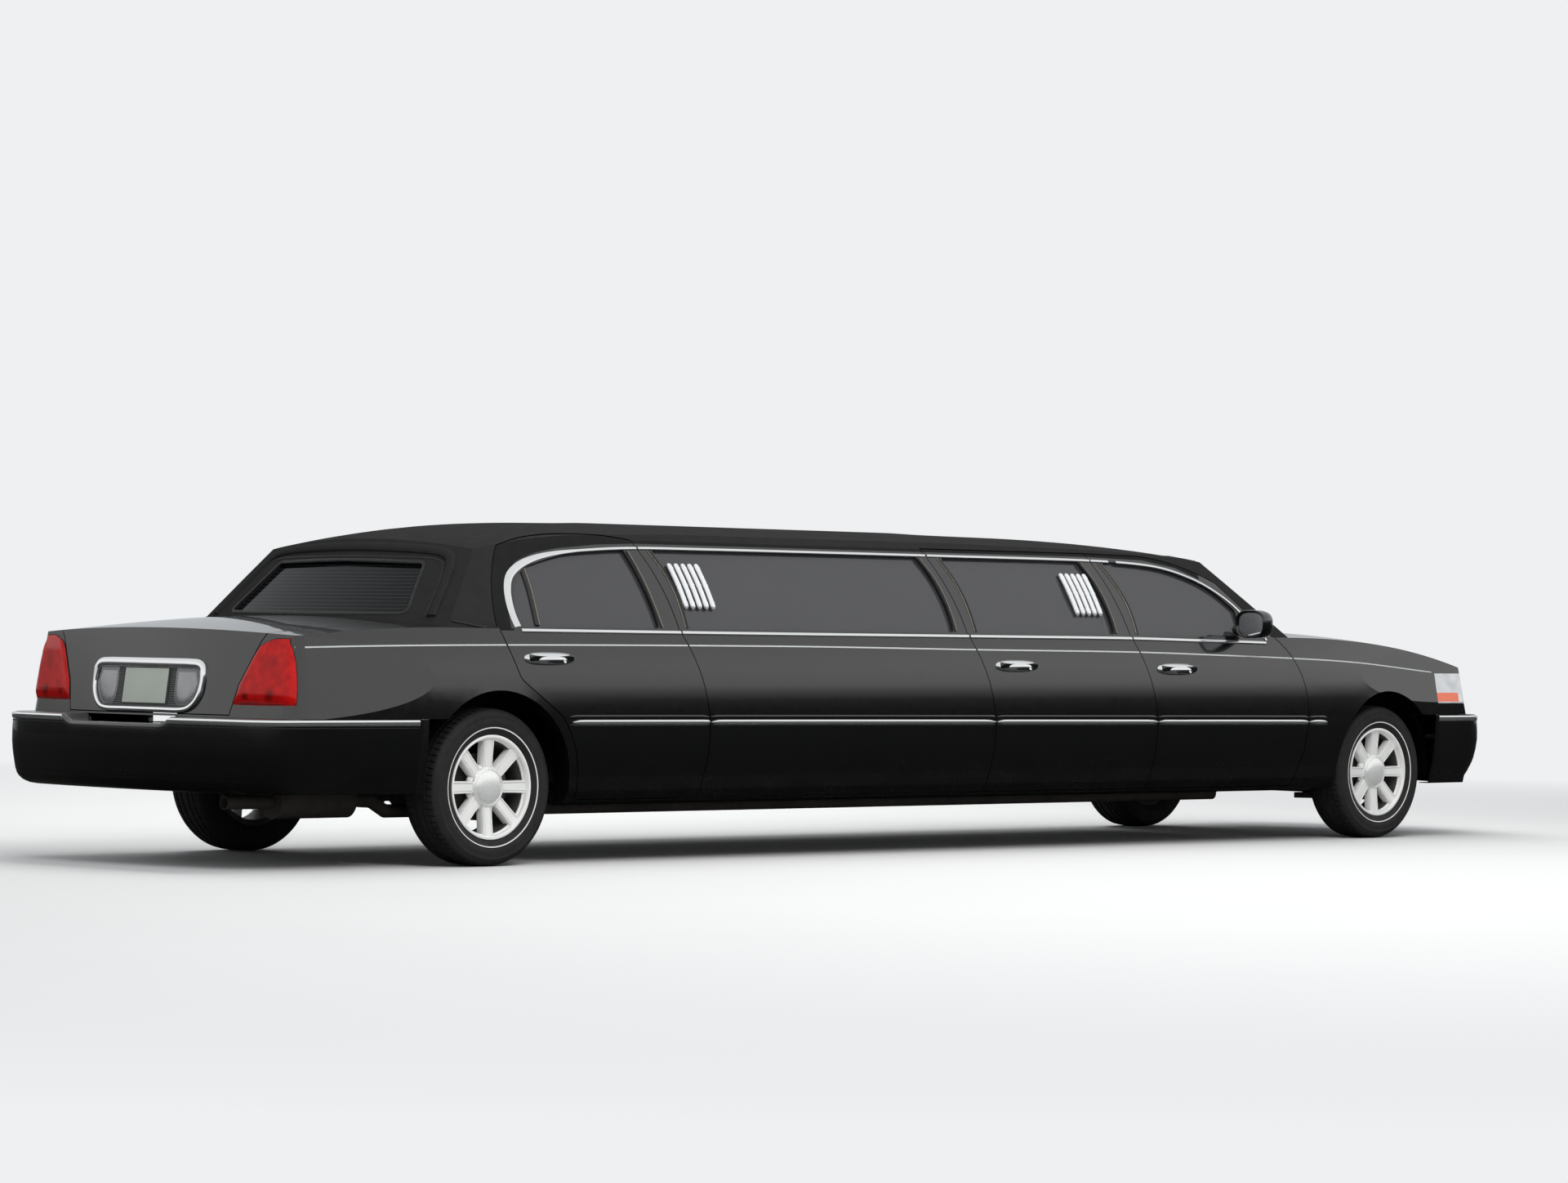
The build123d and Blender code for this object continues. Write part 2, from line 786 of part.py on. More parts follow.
def lid_panel(space, shrunk_space, x_axis, forward):
    """A lid: the wall inside its outline, its inner layer stepped back behind the skin."""
    edge = meet(without(space, shrunk_space), hull_skin)
    with BuildPart() as lid:
        add(lower_shell.part)
        add(space, mode=Mode.INTERSECT)
        add(edge, mode=Mode.SUBTRACT)
        add_lid_hinges(x_axis, forward)
    return lid.part


# Boot lid, tail lamps and the rear end of the body
lid_face = [(0, 668), (566, 668), (600, 800), (700, 985), (lid_side_y, 1030), (lid_side_y, 1200), (0, 1200)]
lid_axis_x = lid_front_x - lid_setback


def lid_space(growth):
    front = lid_front_x + (lid_gap if growth > 0 else growth)
    return front_prism(lid_face, -4500, front, growth)


trunk_lid = lid_panel(lid_space(0), lid_space(-flange), lid_axis_x, 1)
finish(trunk_lid, "trunk_lid")
lid_corner_y = lid_side_y + door_gap
lid_clearance = lid_space(door_gap)
lid_corner_room = box_between(
    lid_axis_x - 20, lid_front_x + lid_gap, -lid_corner_y, lid_corner_y, lid_corner_low, lid_hinge_z
)

lamp_plan = [(-4500, 0), (-4500, 1100), (-4150, 1100), (-4125, 930), (-4085, 800), (-4050, 690), (-4050, 0)]
lamp_foot = 716.0
lamp_space = without(plan_prism(lamp_plan, lamp_foot, 1200), lid_clearance)
tail_lamps = meet(lower_shell.part, lamp_space)
finish(tail_lamps, "tail_lamps")
lamp_clearance = plan_prism(lamp_plan, lamp_foot - rest_gap, 1200, rest_gap)


def wheelhouse(x, forward, y_inner, y_open):
    """Arched liner over a wheel on both sides, closed inboard where y_open lies outside y_inner."""
    with BuildPart() as liner:
        for side in (-1, 1):
            with Locations(Location((x, side * (y_inner + 1000) / 2, tyre_radius), (90, 0, 0))):
                Cylinder(wheelhouse_radius + liner_thickness, 1000 - y_inner)
        for side in (-1, 1):
            with Locations(Location((x, side * (y_open + 1010) / 2, tyre_radius), (90, 0, 0))):
                Cylinder(wheelhouse_radius, 1010 - y_open, mode=Mode.SUBTRACT)
        add(box_between(x - 300, x + 300, -2000, 2000, 0, axle_slot_top), mode=Mode.SUBTRACT)
        add(box_between(x - 600, x + 600, -far_side, far_side, floor_z, far_side), mode=Mode.INTERSECT)
        add(lower_hull_middle, mode=Mode.INTERSECT)
        for side in (-1, 1):
            y0 = side * (bumper_inner_y - rest_gap)
            add(box_between(x, x + forward * 700, y0, side * far_side, 0, bumper_line), mode=Mode.SUBTRACT)
    return liner.part


lower_hull_middle = lower_hull(wall / 2)
with BuildPart() as rear_body:
    add(lower_shell.part)
    add(box_between(-far_end, tub_rear_x, -far_side, far_side, 0, 1200), mode=Mode.INTERSECT)
    add(lid_clearance, mode=Mode.SUBTRACT)
    add(lid_corner_room, mode=Mode.SUBTRACT)
    add(lamp_clearance, mode=Mode.SUBTRACT)
    add(box_between(-far_end, x_rear_wheel, -far_side, far_side, 0, bumper_line), mode=Mode.SUBTRACT)
    add(wheelhouse(x_rear_wheel, -1, rear_liner_y, rear_liner_y + liner_thickness))
    for side in (-1, 1):
        add(door_spaces[side], mode=Mode.SUBTRACT)
finish(rear_body.part, "rear_body")

# Hood, headlamps, grille opening and the front end of the body
hood_plan = [(hood_rear_x, 0), (hood_rear_x, 745), (3400, 735), (4060, 640), (4150, 560), (4150, 0)]
hood_axis_x = hood_rear_x + lid_setback


def hood_space(growth):
    rear = hood_rear_x - (lid_gap if growth > 0 else growth)
    return meet(plan_prism(hood_plan, 700, 1300, growth), box_between(rear, 4500, -1000, 1000, 700, 1300))


def hood_opening():
    with BuildPart() as opening:
        add(plan_prism(hood_plan, 700, 1300, door_gap + 1))
        add(box_between(hood_rear_x - lid_gap, hood_rear_x + 50, -745 - door_gap, 745 + door_gap, 700, 1300))
    return opening.part


hood = lid_panel(hood_space(0), hood_space(-flange), hood_axis_x, -1)
finish(hood, "hood")
hood_clearance = hood_opening()
lamp_front = [(470, 716), (1100, 716), (1100, 878), (700, 872), (520, 850), (470, 820)]
lamp_side = [(3760, 1100), (3745, 900), (3900, 400), (4500, 400), (4500, 1100)]


def headlamp_space(growth):
    """Space of both headlamps, bounded from the front and from above."""
    with BuildPart() as space:
        with BuildSketch(across(3600)) as face:
            for side in (-1, 1):
                outline = [(side * y, z) for y, z in lamp_front]
                with BuildLine():
                    Polyline(*outline, outline[0])
                make_face()
            if growth:
                offset(amount=growth, kind=Kind.INTERSECTION)
        extrude(amount=900)
    with BuildPart() as plan:
        with BuildSketch(Plane.XY.offset(600)) as face:
            for side in (-1, 1):
                outline = [(x, side * y) for x, y in lamp_side]
                with BuildLine():
                    Polyline(*outline, outline[0])
                make_face()
            if growth:
                offset(amount=growth, kind=Kind.INTERSECTION)
        extrude(amount=400)
    return meet(space.part, plan.part)


headlamps = without(meet(lower_shell.part, headlamp_space(0)), hood_clearance)
finish(headlamps, "headlamps")
grille_outline = [(0, 662), (330, 662), (372, 760), (350, 838), (0, 852)]
with BuildPart() as front_body:
    add(lower_shell.part)
    add(box_between(-tub_rear_x, far_end, -far_side, far_side, 0, 1200), mode=Mode.INTERSECT)
    add(hood_clearance, mode=Mode.SUBTRACT)
    add(headlamp_space(rest_gap), mode=Mode.SUBTRACT)
    add(front_prism(grille_outline, 3900, 4500), mode=Mode.SUBTRACT)
    add(box_between(x_front_wheel, far_end, -far_side, far_side, 0, bumper_line), mode=Mode.SUBTRACT)
    add(wheelhouse(x_front_wheel, 1, front_liner_y, front_liner_y - 10))
    for side in (-1, 1):
        add(door_spaces[side], mode=Mode.SUBTRACT)
finish(front_body.part, "front_fenders")


# Bumpers
def bumper_hollow(x_face, radius, forward, z_nose, z_bottom):
    x_inner = x_face - forward * (math.tan(math.radians(tuck_draft)) * (z_nose - z_bottom) + bumper_wall)
    with BuildPart() as hollow:
        add(lower_form(bumper_wall))
        add(plan_end(x_inner, radius, bumper_corner_radius, 930.0, z_plan, 700.0, 0.0, forward), mode=Mode.INTERSECT)
        add(box_between(-far_end, far_end, -far_side, far_side, 0, z_bumper_top - 15), mode=Mode.INTERSECT)
    return hollow.part


def bumper(x_face, radius, forward, z_nose, z_bottom, x_end):
    """Wrap-round bumper, open inside and below, from its tip back to the wheel opening."""
    rise = z_nose - z_plan
    x_low = x_face + forward * math.tan(math.radians(bumper_draft)) * rise
    x_tucked = x_face - forward * math.tan(math.radians(tuck_draft)) * rise
    x_shelf = x_face - forward * bumper_shelf
    with BuildPart() as cover:
        add(plan_end(x_low, radius, bumper_corner_radius, 992.0, z_plan, 700.0, bumper_draft, forward))
        add(plan_end(x_tucked, radius, bumper_corner_radius, 845.0, z_plan, 500.0, -tuck_draft, forward),
            mode=Mode.INTERSECT)
        add(lower_form(0), mode=Mode.INTERSECT)
        add(box_between(x_end, x_end + forward * 3000, -1100, 1100, z_bottom, z_bumper_top), mode=Mode.INTERSECT)
        add(bumper_hollow(x_face, radius, forward, z_nose, z_bottom), mode=Mode.SUBTRACT)
        add(box_between(x_end - forward, x_shelf, -bumper_inner_y, bumper_inner_y, 0, 800), mode=Mode.SUBTRACT)
        add(arches.part, mode=Mode.SUBTRACT)
    return cover.part


bumper_rows = (
    # name, foremost x, plan radius, direction, height of the tip, height of the foot, x of the wheel
    ("front_bumper", x_nose, front_bumper_radius, 1, 540.0, 286.0, x_front_wheel),
    ("rear_bumper", x_tail, rear_bumper_radius, -1, 520.0, 330.0, x_rear_wheel),
)
for name, *sizes in bumper_rows:
    cover = bumper(*sizes)
    finish(cover, name)

# Grille: a frame in the nose opening with upright bars
with BuildPart() as grille_bars:
    with BuildSketch(across(grille_face_x - 60)):
        for i in range(grille_bar_count):
            y = (i - (grille_bar_count - 1) / 2) * grille_bar_pitch
            with Locations((y, 752)):
                Rectangle(9, 240)
    extrude(amount=60)
    add(front_prism(grille_outline, 3900, 4500, -grille_frame / 2), mode=Mode.INTERSECT)
with BuildPart() as grille:
    add(front_prism(grille_outline, grille_face_x - 60, grille_face_x + 15, -rest_gap))
    add(front_prism(grille_outline, grille_face_x - 61, grille_face_x + 16, -grille_frame), mode=Mode.SUBTRACT)
    add(grille_bars.part)
finish(grille.part, "grille")


# Chassis: two rails with a kick-up over the axle, and the cross members between them
def rail_run(growth):
    with BuildPart() as rails:
        for side in (-1, 1):
            with BuildSketch(Plane.XZ.offset(side * rail_y - rail_width / 2 - growth)) as rail:
                with BuildLine():
                    upper = [(x, z + rail_depth) for x, z in reversed(rail_points)]
                    Polyline(*rail_points, *upper, rail_points[0])
                make_face()
                if growth:
                    offset(amount=growth, kind=Kind.INTERSECTION)
            extrude(amount=rail_width + 2 * growth)
    return rails.part


finish(rail_run(0), "chassis_rails")
rail_clearance = rail_run(rest_gap)
with BuildPart() as cross_members:
    for x, z in cross_member_rows:
        with Locations((x, 0, z)):
            Box(90, 2 * (rail_y - rail_width / 2 - rest_gap), 70)
finish(cross_members.part, "cross_members")


# Wheels
def wheel_place(x, y, side):
    return Location((x, side * y, tyre_radius), (-90 * side, 0, 0))


tyre_half = tyre_width / 2
bore_radius = (rim_radius + rest_gap) / math.cos(math.pi / tyre_facets)
shoulder_rows = (
    # radius, height over the middle
    (tyre_radius - 60, tyre_half), (tyre_radius - 12, tyre_half - 12), (tyre_radius, tyre_half - 38),
)
outer_rows = shoulder_rows + tuple((r, -z) for r, z in reversed(shoulder_rows))
with BuildPart() as dish:
    for r, z in ((tyre_radius - 60, tyre_half), (bore_radius, tyre_half - 18)):
        with BuildSketch(Plane.XY.offset(z)):
            RegularPolygon(r, tyre_facets)
    loft(ruled=True)
with BuildPart() as tyre:
    for r, z in outer_rows:
        with BuildSketch(Plane.XY.offset(z)):
            RegularPolygon(r, tyre_facets)
    loft(ruled=True)
    add(dish.part, mode=Mode.SUBTRACT)
    add(mirror(dish.part, about=Plane.XY), mode=Mode.SUBTRACT)
    with BuildSketch():
        RegularPolygon(bore_radius, tyre_facets)
    extrude(amount=tyre_half, both=True, mode=Mode.SUBTRACT)

lip = tyre_half - 14
with BuildPart() as rim:
    with BuildSketch(Plane.XZ):
        with BuildLine():
            Polyline(
                (rim_radius - 14, -lip), (rim_radius, -lip), (rim_radius, lip), (rim_radius - 6, lip),
                (rim_radius - 14, lip - 20), (rim_radius - 14, -lip),
            )
        make_face()
    revolve(axis=Axis.Z)
    with BuildSketch(Plane.XZ):
        with BuildLine():
            Polyline(
                (0, wheel_face - 18), (hub_bore_radius, wheel_face - 18), (hub_bore_radius, -40), (hub_radius, -40),
                (hub_radius, wheel_face), (hub_radius - 14, wheel_face + 12), (0, wheel_face + 30), (0, wheel_face - 18),
            )
        make_face()
    revolve(axis=Axis.Z)
    for i in range(spoke_count):
        spoke_plane = Plane.XY.offset(wheel_face - 34).rotated((0, 0, i * 360 / spoke_count))
        with BuildSketch(spoke_plane):
            with Locations(((hub_radius - 8 + rim_radius - 8) / 2, 0)):
                Rectangle(rim_radius - hub_radius, spoke_width)
        extrude(amount=42, taper=9)

corner_rows = (
    ("front_left", x_front_wheel, front_track / 2, 1),
    ("front_right", x_front_wheel, front_track / 2, -1),
    ("rear_left", x_rear_wheel, rear_track / 2, 1),
    ("rear_right", x_rear_wheel, rear_track / 2, -1),
)
for name, x, y, side in corner_rows:
    for label, piece in ((f"tyre_{name}", tyre), (f"wheel_{name}", rim)):
        with BuildPart() as placed:
            with Locations(wheel_place(x, y, side)):
                add(piece.part)
        finish(placed.part, label)

# Rear axle: tubes, differential, spring seats and the two spindles
spindle_tip = wheel_face - 26
with BuildPart() as rear_axle:
    with Locations(Location((x_rear_wheel, 0, tyre_radius), (90, 0, 0))):
        Cylinder(45, rear_track - 100)
        Cylinder(spindle_radius, rear_track + 2 * spindle_tip)
        Cylinder(85, rear_track - 1220)
        Cylinder(differential_radius, 220)
    with Locations(Location((x_rear_wheel + 150, 0, tyre_radius), (0, 90, 0))):
        Cylinder(48, 200)
    for side in (-1, 1):
        add(box_between(
            x_rear_wheel - 50, x_rear_wheel + 50, side * (rail_y - 30), side * (rail_y + 30), tyre_radius,
            rail_rear_z - rest_gap
        ))
finish(rear_axle.part, "rear_axle")

# Front knuckles, each with a spindle and a pin, and the arms that carry them
pin_low = knuckle_low - rest_gap - lower_arm
pin_high = knuckle_high + rest_gap + upper_arm
for name, side in (("left", 1), ("right", -1)):
    with BuildPart() as knuckle:
        with Locations((x_front_wheel, side * steering_axis_y, (knuckle_low + knuckle_high) / 2)):
            Box(60, 46, knuckle_high - knuckle_low)
        with Locations((x_front_wheel, side * steering_axis_y, (pin_low + pin_high) / 2)):
            Cylinder(kingpin_radius, pin_high - pin_low)
        y_tip = front_track / 2 + spindle_tip
        with Locations(Location((x_front_wheel, side * (steering_axis_y + y_tip) / 2, tyre_radius), (90, 0, 0))):
            Cylinder(spindle_radius, y_tip - steering_axis_y)
    finish(knuckle.part, f"knuckle_{name}")

tower_y = rail_y + rail_width / 2 + rest_gap
arm_rows = (
    # foot of the arm, thickness, half width at the tower
    (pin_low, lower_arm, 170),
    (pin_high - upper_arm, upper_arm, 120),
)
with BuildPart() as front_suspension:
    for side in (-1, 1):
        for z, thick, reach in arm_rows:
            with BuildSketch(Plane.XY.offset(z)):
                with BuildLine():
                    outline = [
                        (x_front_wheel - reach, side * tower_y), (x_front_wheel + reach, side * tower_y),
                        (x_front_wheel + 28, side * (steering_axis_y + 24)),
                        (x_front_wheel - 28, side * (steering_axis_y + 24)),
                    ]
                    Polyline(*outline, outline[0])
                make_face()
            extrude(amount=thick)
        add(box_between(
            x_front_wheel - 100, x_front_wheel + 100, side * tower_y, side * (tower_y + 30), knuckle_low - 30,
            knuckle_high + 25
        ))
        with Locations((x_front_wheel, side * steering_axis_y, tyre_radius)):
            Cylinder(kingpin_radius + hinge_clearance, 2 * tyre_radius, mode=Mode.SUBTRACT)
    add(box_between(
        x_front_wheel - 80, x_front_wheel + 80, -tower_y - 20, tower_y + 20, knuckle_low, engine_foot_z - rest_gap
    ))
finish(front_suspension.part, "front_suspension")

# Engine with its gearbox, propeller shaft, exhaust and tank
with BuildPart() as engine:
    add(box_between(3070, 3770, -280, 280, engine_foot_z, 840))
    add(box_between(gearbox_rear_x, 3130, -140, 140, 310, 560))
finish(engine.part, "engine")

with BuildPart() as driveshaft:
    x_a, z_a = gearbox_rear_x - shaft_seat, gearbox_output_z
    x_b, z_b = x_rear_wheel + 250 + shaft_seat, tyre_radius
    pitch = math.degrees(math.atan2(z_a - z_b, x_a - x_b))
    with Locations(Location(((x_a + x_b) / 2, 0, (z_a + z_b) / 2), (0, 90 - pitch, 0))):
        Cylinder(shaft_radius, math.hypot(x_a - x_b, z_a - z_b))
finish(driveshaft.part, "driveshaft")

pipe_runs = (
    # x and z of both ends, radius
    (2300.0, pipe_z, -3330.0, pipe_z, pipe_radius),
    (-3330.0, pipe_z, -3420.0, tail_pipe_z, pipe_radius),
    (-3420.0, tail_pipe_z, -4230.0, tail_pipe_z, pipe_radius),
    (-3550.0, tail_pipe_z, -3970.0, tail_pipe_z, 75.0),
)
with BuildPart() as exhaust:
    for xa, za, xb, zb, radius in pipe_runs:
        pitch = math.degrees(math.atan2(za - zb, xa - xb))
        with Locations(Location(((xa + xb) / 2, pipe_y, (za + zb) / 2), (0, 90 - pitch, 0))):
            Cylinder(radius, math.hypot(xa - xb, za - zb))
    for x, z in ((-3330.0, pipe_z), (-3420.0, tail_pipe_z)):
        with Locations((x, pipe_y, z)):
            Sphere(pipe_radius)
    for x in (2000, 300, -1400):
        add(box_between(x - 20, x + 20, pipe_y - 6, pipe_y + 6, pipe_z, floor_z - rest_gap))
    add(box_between(-3780, -3740, pipe_y, -tower_y, tail_pipe_z + 30, tail_pipe_z + 60))
    add(box_between(-3780, -3740, -tower_y - 30, -tower_y, tail_pipe_z + 30, rail_front_z + 40))
    with Locations(Location((-4200, pipe_y, tail_pipe_z), (0, 90, 0))):
        Cylinder(pipe_radius - 3, 62, mode=Mode.SUBTRACT)
finish(exhaust.part, "exhaust")

with BuildPart() as tank:
    tank_y = rail_y - rail_width / 2 - rest_gap
    add(box_between(-3840, -3240, -tank_y, tank_y, 320, boot_floor_z - 10))
    fillet(tank.edges().filter_by(Axis.Y), radius=30)
finish(tank.part, "fuel_tank")


def add_door_hinges(xh, side):
    """Pillar with the ears and pins of one door's two hinges, in the part being built."""
    yh = side * hinge_y
    y_pillar = side * pillar_y
    add(box_between(xh - 30, xh + 26, y_pillar - 18, y_pillar + 18, floor_z, pillar_top_z))
    for z in hinge_heights:
        for step in (-1, 1):
            z_ear = z + step * (hinge_half_height + rest_gap + hinge_ear / 2)
            with Locations((xh, yh, z_ear)):
                Cylinder(hinge_ear_radius, hinge_ear)
            with Locations((xh, (yh + y_pillar) / 2, z_ear)):
                Box(2 * hinge_ear_radius, hinge_y - pillar_y, hinge_ear)
        with Locations((xh, yh, z)):
            Cylinder(hinge_pin_radius, 2 * (hinge_half_height + rest_gap + hinge_ear))


# Floor with its tunnel, bulkheads, sills and hinge pillars, in one welded tub
with BuildPart() as tub:
    add(box_between(bulkhead_x, firewall_x, -inner_sill_y, inner_sill_y, floor_z, floor_z + floor_thickness))
    add(box_between(bulkhead_x, firewall_x + 20, -tunnel_half, tunnel_half, floor_z, tunnel_top))
    add(box_between(firewall_x, firewall_x + 20, -inner_sill_y, inner_sill_y, floor_z, 985))
    add(box_between(bulkhead_x - 20, bulkhead_x, -650, 650, floor_z, shelf_z))
    add(box_between(-3280, bulkhead_x, -800, 800, shelf_z, shelf_z + 16))
    add(box_between(-4120, bulkhead_x - 5, -boot_half_width, boot_half_width, boot_floor_z, boot_floor_z + 16))
    add(meet(lower_shell.part, box_between(
        tub_rear_x + rest_gap, -tub_rear_x - rest_gap, -1000, 1000, 200, z_door_foot - door_gap
    )))
    for side in (-1, 1):
        add(box_between(bulkhead_x + 60, firewall_x - 30, side * 820, side * 857, z_sill + 4, floor_z + floor_thickness))
        add(box_between(tub_rear_x + 1, -tub_rear_x - 1, side * 850, side * 872, z_sill + 4, z_sill + 22))
        for x_axis, x_post, x_riser in (
            (hood_axis_x, firewall_x, firewall_x + 20), (lid_axis_x, -3240, -3280)
        ):
            forward = 1 if x_axis > 0 else -1
            y0 = side * (lid_hinge_y + 20)
            y1 = side * (lid_hinge_y + 32)
            add(box_between(x_post, x_axis + forward * 14, side * (lid_hinge_y + 8), y1, 900, 930))
            add(box_between(x_post, x_riser, side * (lid_hinge_y + 8), y1, 900, shelf_z + 1))
            add(box_between(x_axis - 14, x_axis + 14, y0, y1, 910, lid_hinge_z))
            with Locations(Location((x_axis, (y0 + y1) / 2, lid_hinge_z), (90, 0, 0))):
                Cylinder(14, 12)
            with Locations(Location((x_axis, side * (lid_hinge_y + 5), lid_hinge_z), (90, 0, 0))):
                Cylinder(hinge_pin_radius, 50)
    for name, sides, outline, window, x_foremost, *handle in door_rows:
        for side in sides:
            add_door_hinges(x_foremost - hinge_setback, side)
    add(box_between(
        bulkhead_x - 40, firewall_x + 40, tunnel_wall - tunnel_half, tunnel_half - tunnel_wall, floor_z - 20,
        tunnel_top - tunnel_wall
    ), mode=Mode.SUBTRACT)
    add(rail_clearance, mode=Mode.SUBTRACT)
finish(tub.part, "body_tub")

# Seats. Each outline is seen from the side: x and height above the floor
seat_floor = floor_z + floor_thickness + rest_gap
front_seat_side = ((0, 0), (500, 0), (520, 215), (490, 270), (60, 235), (-60, 800), (-165, 800), (-130, 200), (0, 150))
bench_side = ((0, 0), (560, 0), (580, 240), (540, 290), (130, 265), (90, 720), (0, 760))


def seat(points, x, y0, y1):
    """Seat between two planes across the car, from its outline seen from the side."""
    with BuildPart() as cushion:
        with BuildSketch(Plane.XZ.offset(-y1)):
            outline = [(x + px, seat_floor + pz) for px, pz in points]
            with BuildLine():
                Polyline(*outline, outline[0])
            make_face()
        extrude(amount=y1 - y0)
    return cushion.part


tunnel_clearance = box_between(
    bulkhead_x, firewall_x, -tunnel_half - rest_gap, tunnel_half + rest_gap, floor_z, tunnel_top + rest_gap
)
with BuildPart() as front_seats:
    for side in (-1, 1):
        y0, y1 = sorted((side * 150, side * 680))
        add(seat(front_seat_side, 1440, y0, y1))
finish(front_seats.part, "front_seats")
with BuildPart() as cabin_seats:
    add(seat(bench_side, bulkhead_x + rest_gap, -640, 640))
    with BuildSketch(across(-1750)):
        with BuildLine():
            side_points = [(790 - px, seat_floor + pz * 0.9) for px, pz in bench_side]
            Polyline(*side_points, side_points[0])
        make_face()
    extrude(amount=2700)
    add(rail_clearance, mode=Mode.SUBTRACT)
    add(tunnel_clearance, mode=Mode.SUBTRACT)
finish(cabin_seats.part, "cabin_seats")

with BuildPart() as partition:
    add(box_between(1160, 1185, -800, 800, seat_floor, 1020))
    add(box_between(1160, 1185, -680, 680, 1019, 1350))
    add(box_between(1150, 1195, -430, 430, 1040, 1300), mode=Mode.SUBTRACT)
    add(tunnel_clearance, mode=Mode.SUBTRACT)
finish(partition.part, "partition")

with BuildPart() as steering_wheel:
    with BuildSketch(Plane.XZ):
        with Locations((steering_wheel_radius, 0)):
            RegularPolygon(14, 6)
    revolve(axis=Axis.Z)
    Cylinder(45, 30)
    with PolarLocations(steering_wheel_radius / 2, 3):
        Box(steering_wheel_radius, 24, 12)
    with Locations((0, 0, -110)):
        Cylinder(24, 220)
with BuildPart() as dashboard:
    with BuildSketch(Plane.XZ.offset(-780)):
        with BuildLine():
            Polyline(
                (2180, 700), (firewall_x - rest_gap, 640), (firewall_x - rest_gap, 985), (2300, 985), (2170, 900),
                (2180, 700),
            )
        make_face()
    extrude(amount=1560)
    add(steering_wheel.part.moved(Location((2010, 400, 930), (0, -65, 0))))
finish(dashboard.part, "dashboard")

# Plate surround on the boot lid: a ring that follows the tail, with a thin panel inside it
plate_outline = [(0, 672), (300, 672), (395, 771), (390, 893), (0, 893)]
plate_shell = without(tail_prism(-plate_proud), tail_prism(-rest_gap))
with BuildPart() as plate_surround:
    add(plate_shell)
    add(front_prism(plate_outline, -4500, -4100), mode=Mode.INTERSECT)
    add(
        meet(front_prism(plate_outline, -4500, -4100, -plate_ring), without(tail_prism(-200), tail_prism(-4))),
        mode=Mode.SUBTRACT,
    )
finish(plate_surround.part, "plate_surround")

# Mirrors, one on each front door
mirror_stand_off = upper_hull(-rest_gap)
for name, side in (("right", -1), ("left", 1)):
    with BuildPart() as mirror:
        with BuildSketch(Plane.YZ.offset(mirror_rear_x)):
            with Locations((side * mirror_y, mirror_z)):
                RectangleRounded(mirror_width, mirror_height, 36)
        extrude(amount=mirror_depth, taper=16)
        fillet(mirror.faces().sort_by(Axis.X)[-1].edges(), radius=16)
        with BuildSketch(Plane.YZ.offset(mirror_rear_x)):
            with Locations((side * mirror_y, mirror_z)):
                RectangleRounded(mirror_width - 20, mirror_height - 20, 28)
        extrude(amount=12, mode=Mode.SUBTRACT)
        add(box_between(
            mirror_rear_x + 30, mirror_rear_x + 110, side * 860, side * (mirror_y - mirror_width / 2 + 14), 1072, 1122
        ))
        add(mirror_stand_off, mode=Mode.SUBTRACT)
    finish(mirror.part, f"mirror_{name}")
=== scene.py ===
import json
import math
import bmesh
import bpy
from mathutils import Matrix, Vector
from mathutils.bvhtree import BVHTree


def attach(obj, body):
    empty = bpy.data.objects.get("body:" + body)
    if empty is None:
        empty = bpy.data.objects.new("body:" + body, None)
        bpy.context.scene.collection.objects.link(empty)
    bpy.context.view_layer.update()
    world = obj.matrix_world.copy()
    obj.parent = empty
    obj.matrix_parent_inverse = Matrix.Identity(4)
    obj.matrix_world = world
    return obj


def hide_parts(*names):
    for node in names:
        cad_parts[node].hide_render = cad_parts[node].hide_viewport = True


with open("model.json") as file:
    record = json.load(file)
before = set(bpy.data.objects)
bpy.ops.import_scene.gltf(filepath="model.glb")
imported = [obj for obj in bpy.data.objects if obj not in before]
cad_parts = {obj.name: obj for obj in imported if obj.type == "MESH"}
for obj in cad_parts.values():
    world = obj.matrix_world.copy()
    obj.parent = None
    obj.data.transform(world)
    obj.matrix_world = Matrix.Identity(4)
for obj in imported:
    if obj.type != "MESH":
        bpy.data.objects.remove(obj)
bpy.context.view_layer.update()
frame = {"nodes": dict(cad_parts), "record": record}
scene = bpy.context.scene
MM = 0.001
SIDES = (("right", -1), ("left", 1))
# where rays start: beside the car, behind it and in front of it, in metres
BESIDE, BEHIND, AHEAD, CLOSE_BEHIND = 1.4, -5.0, 5.0, -4.7


# Materials

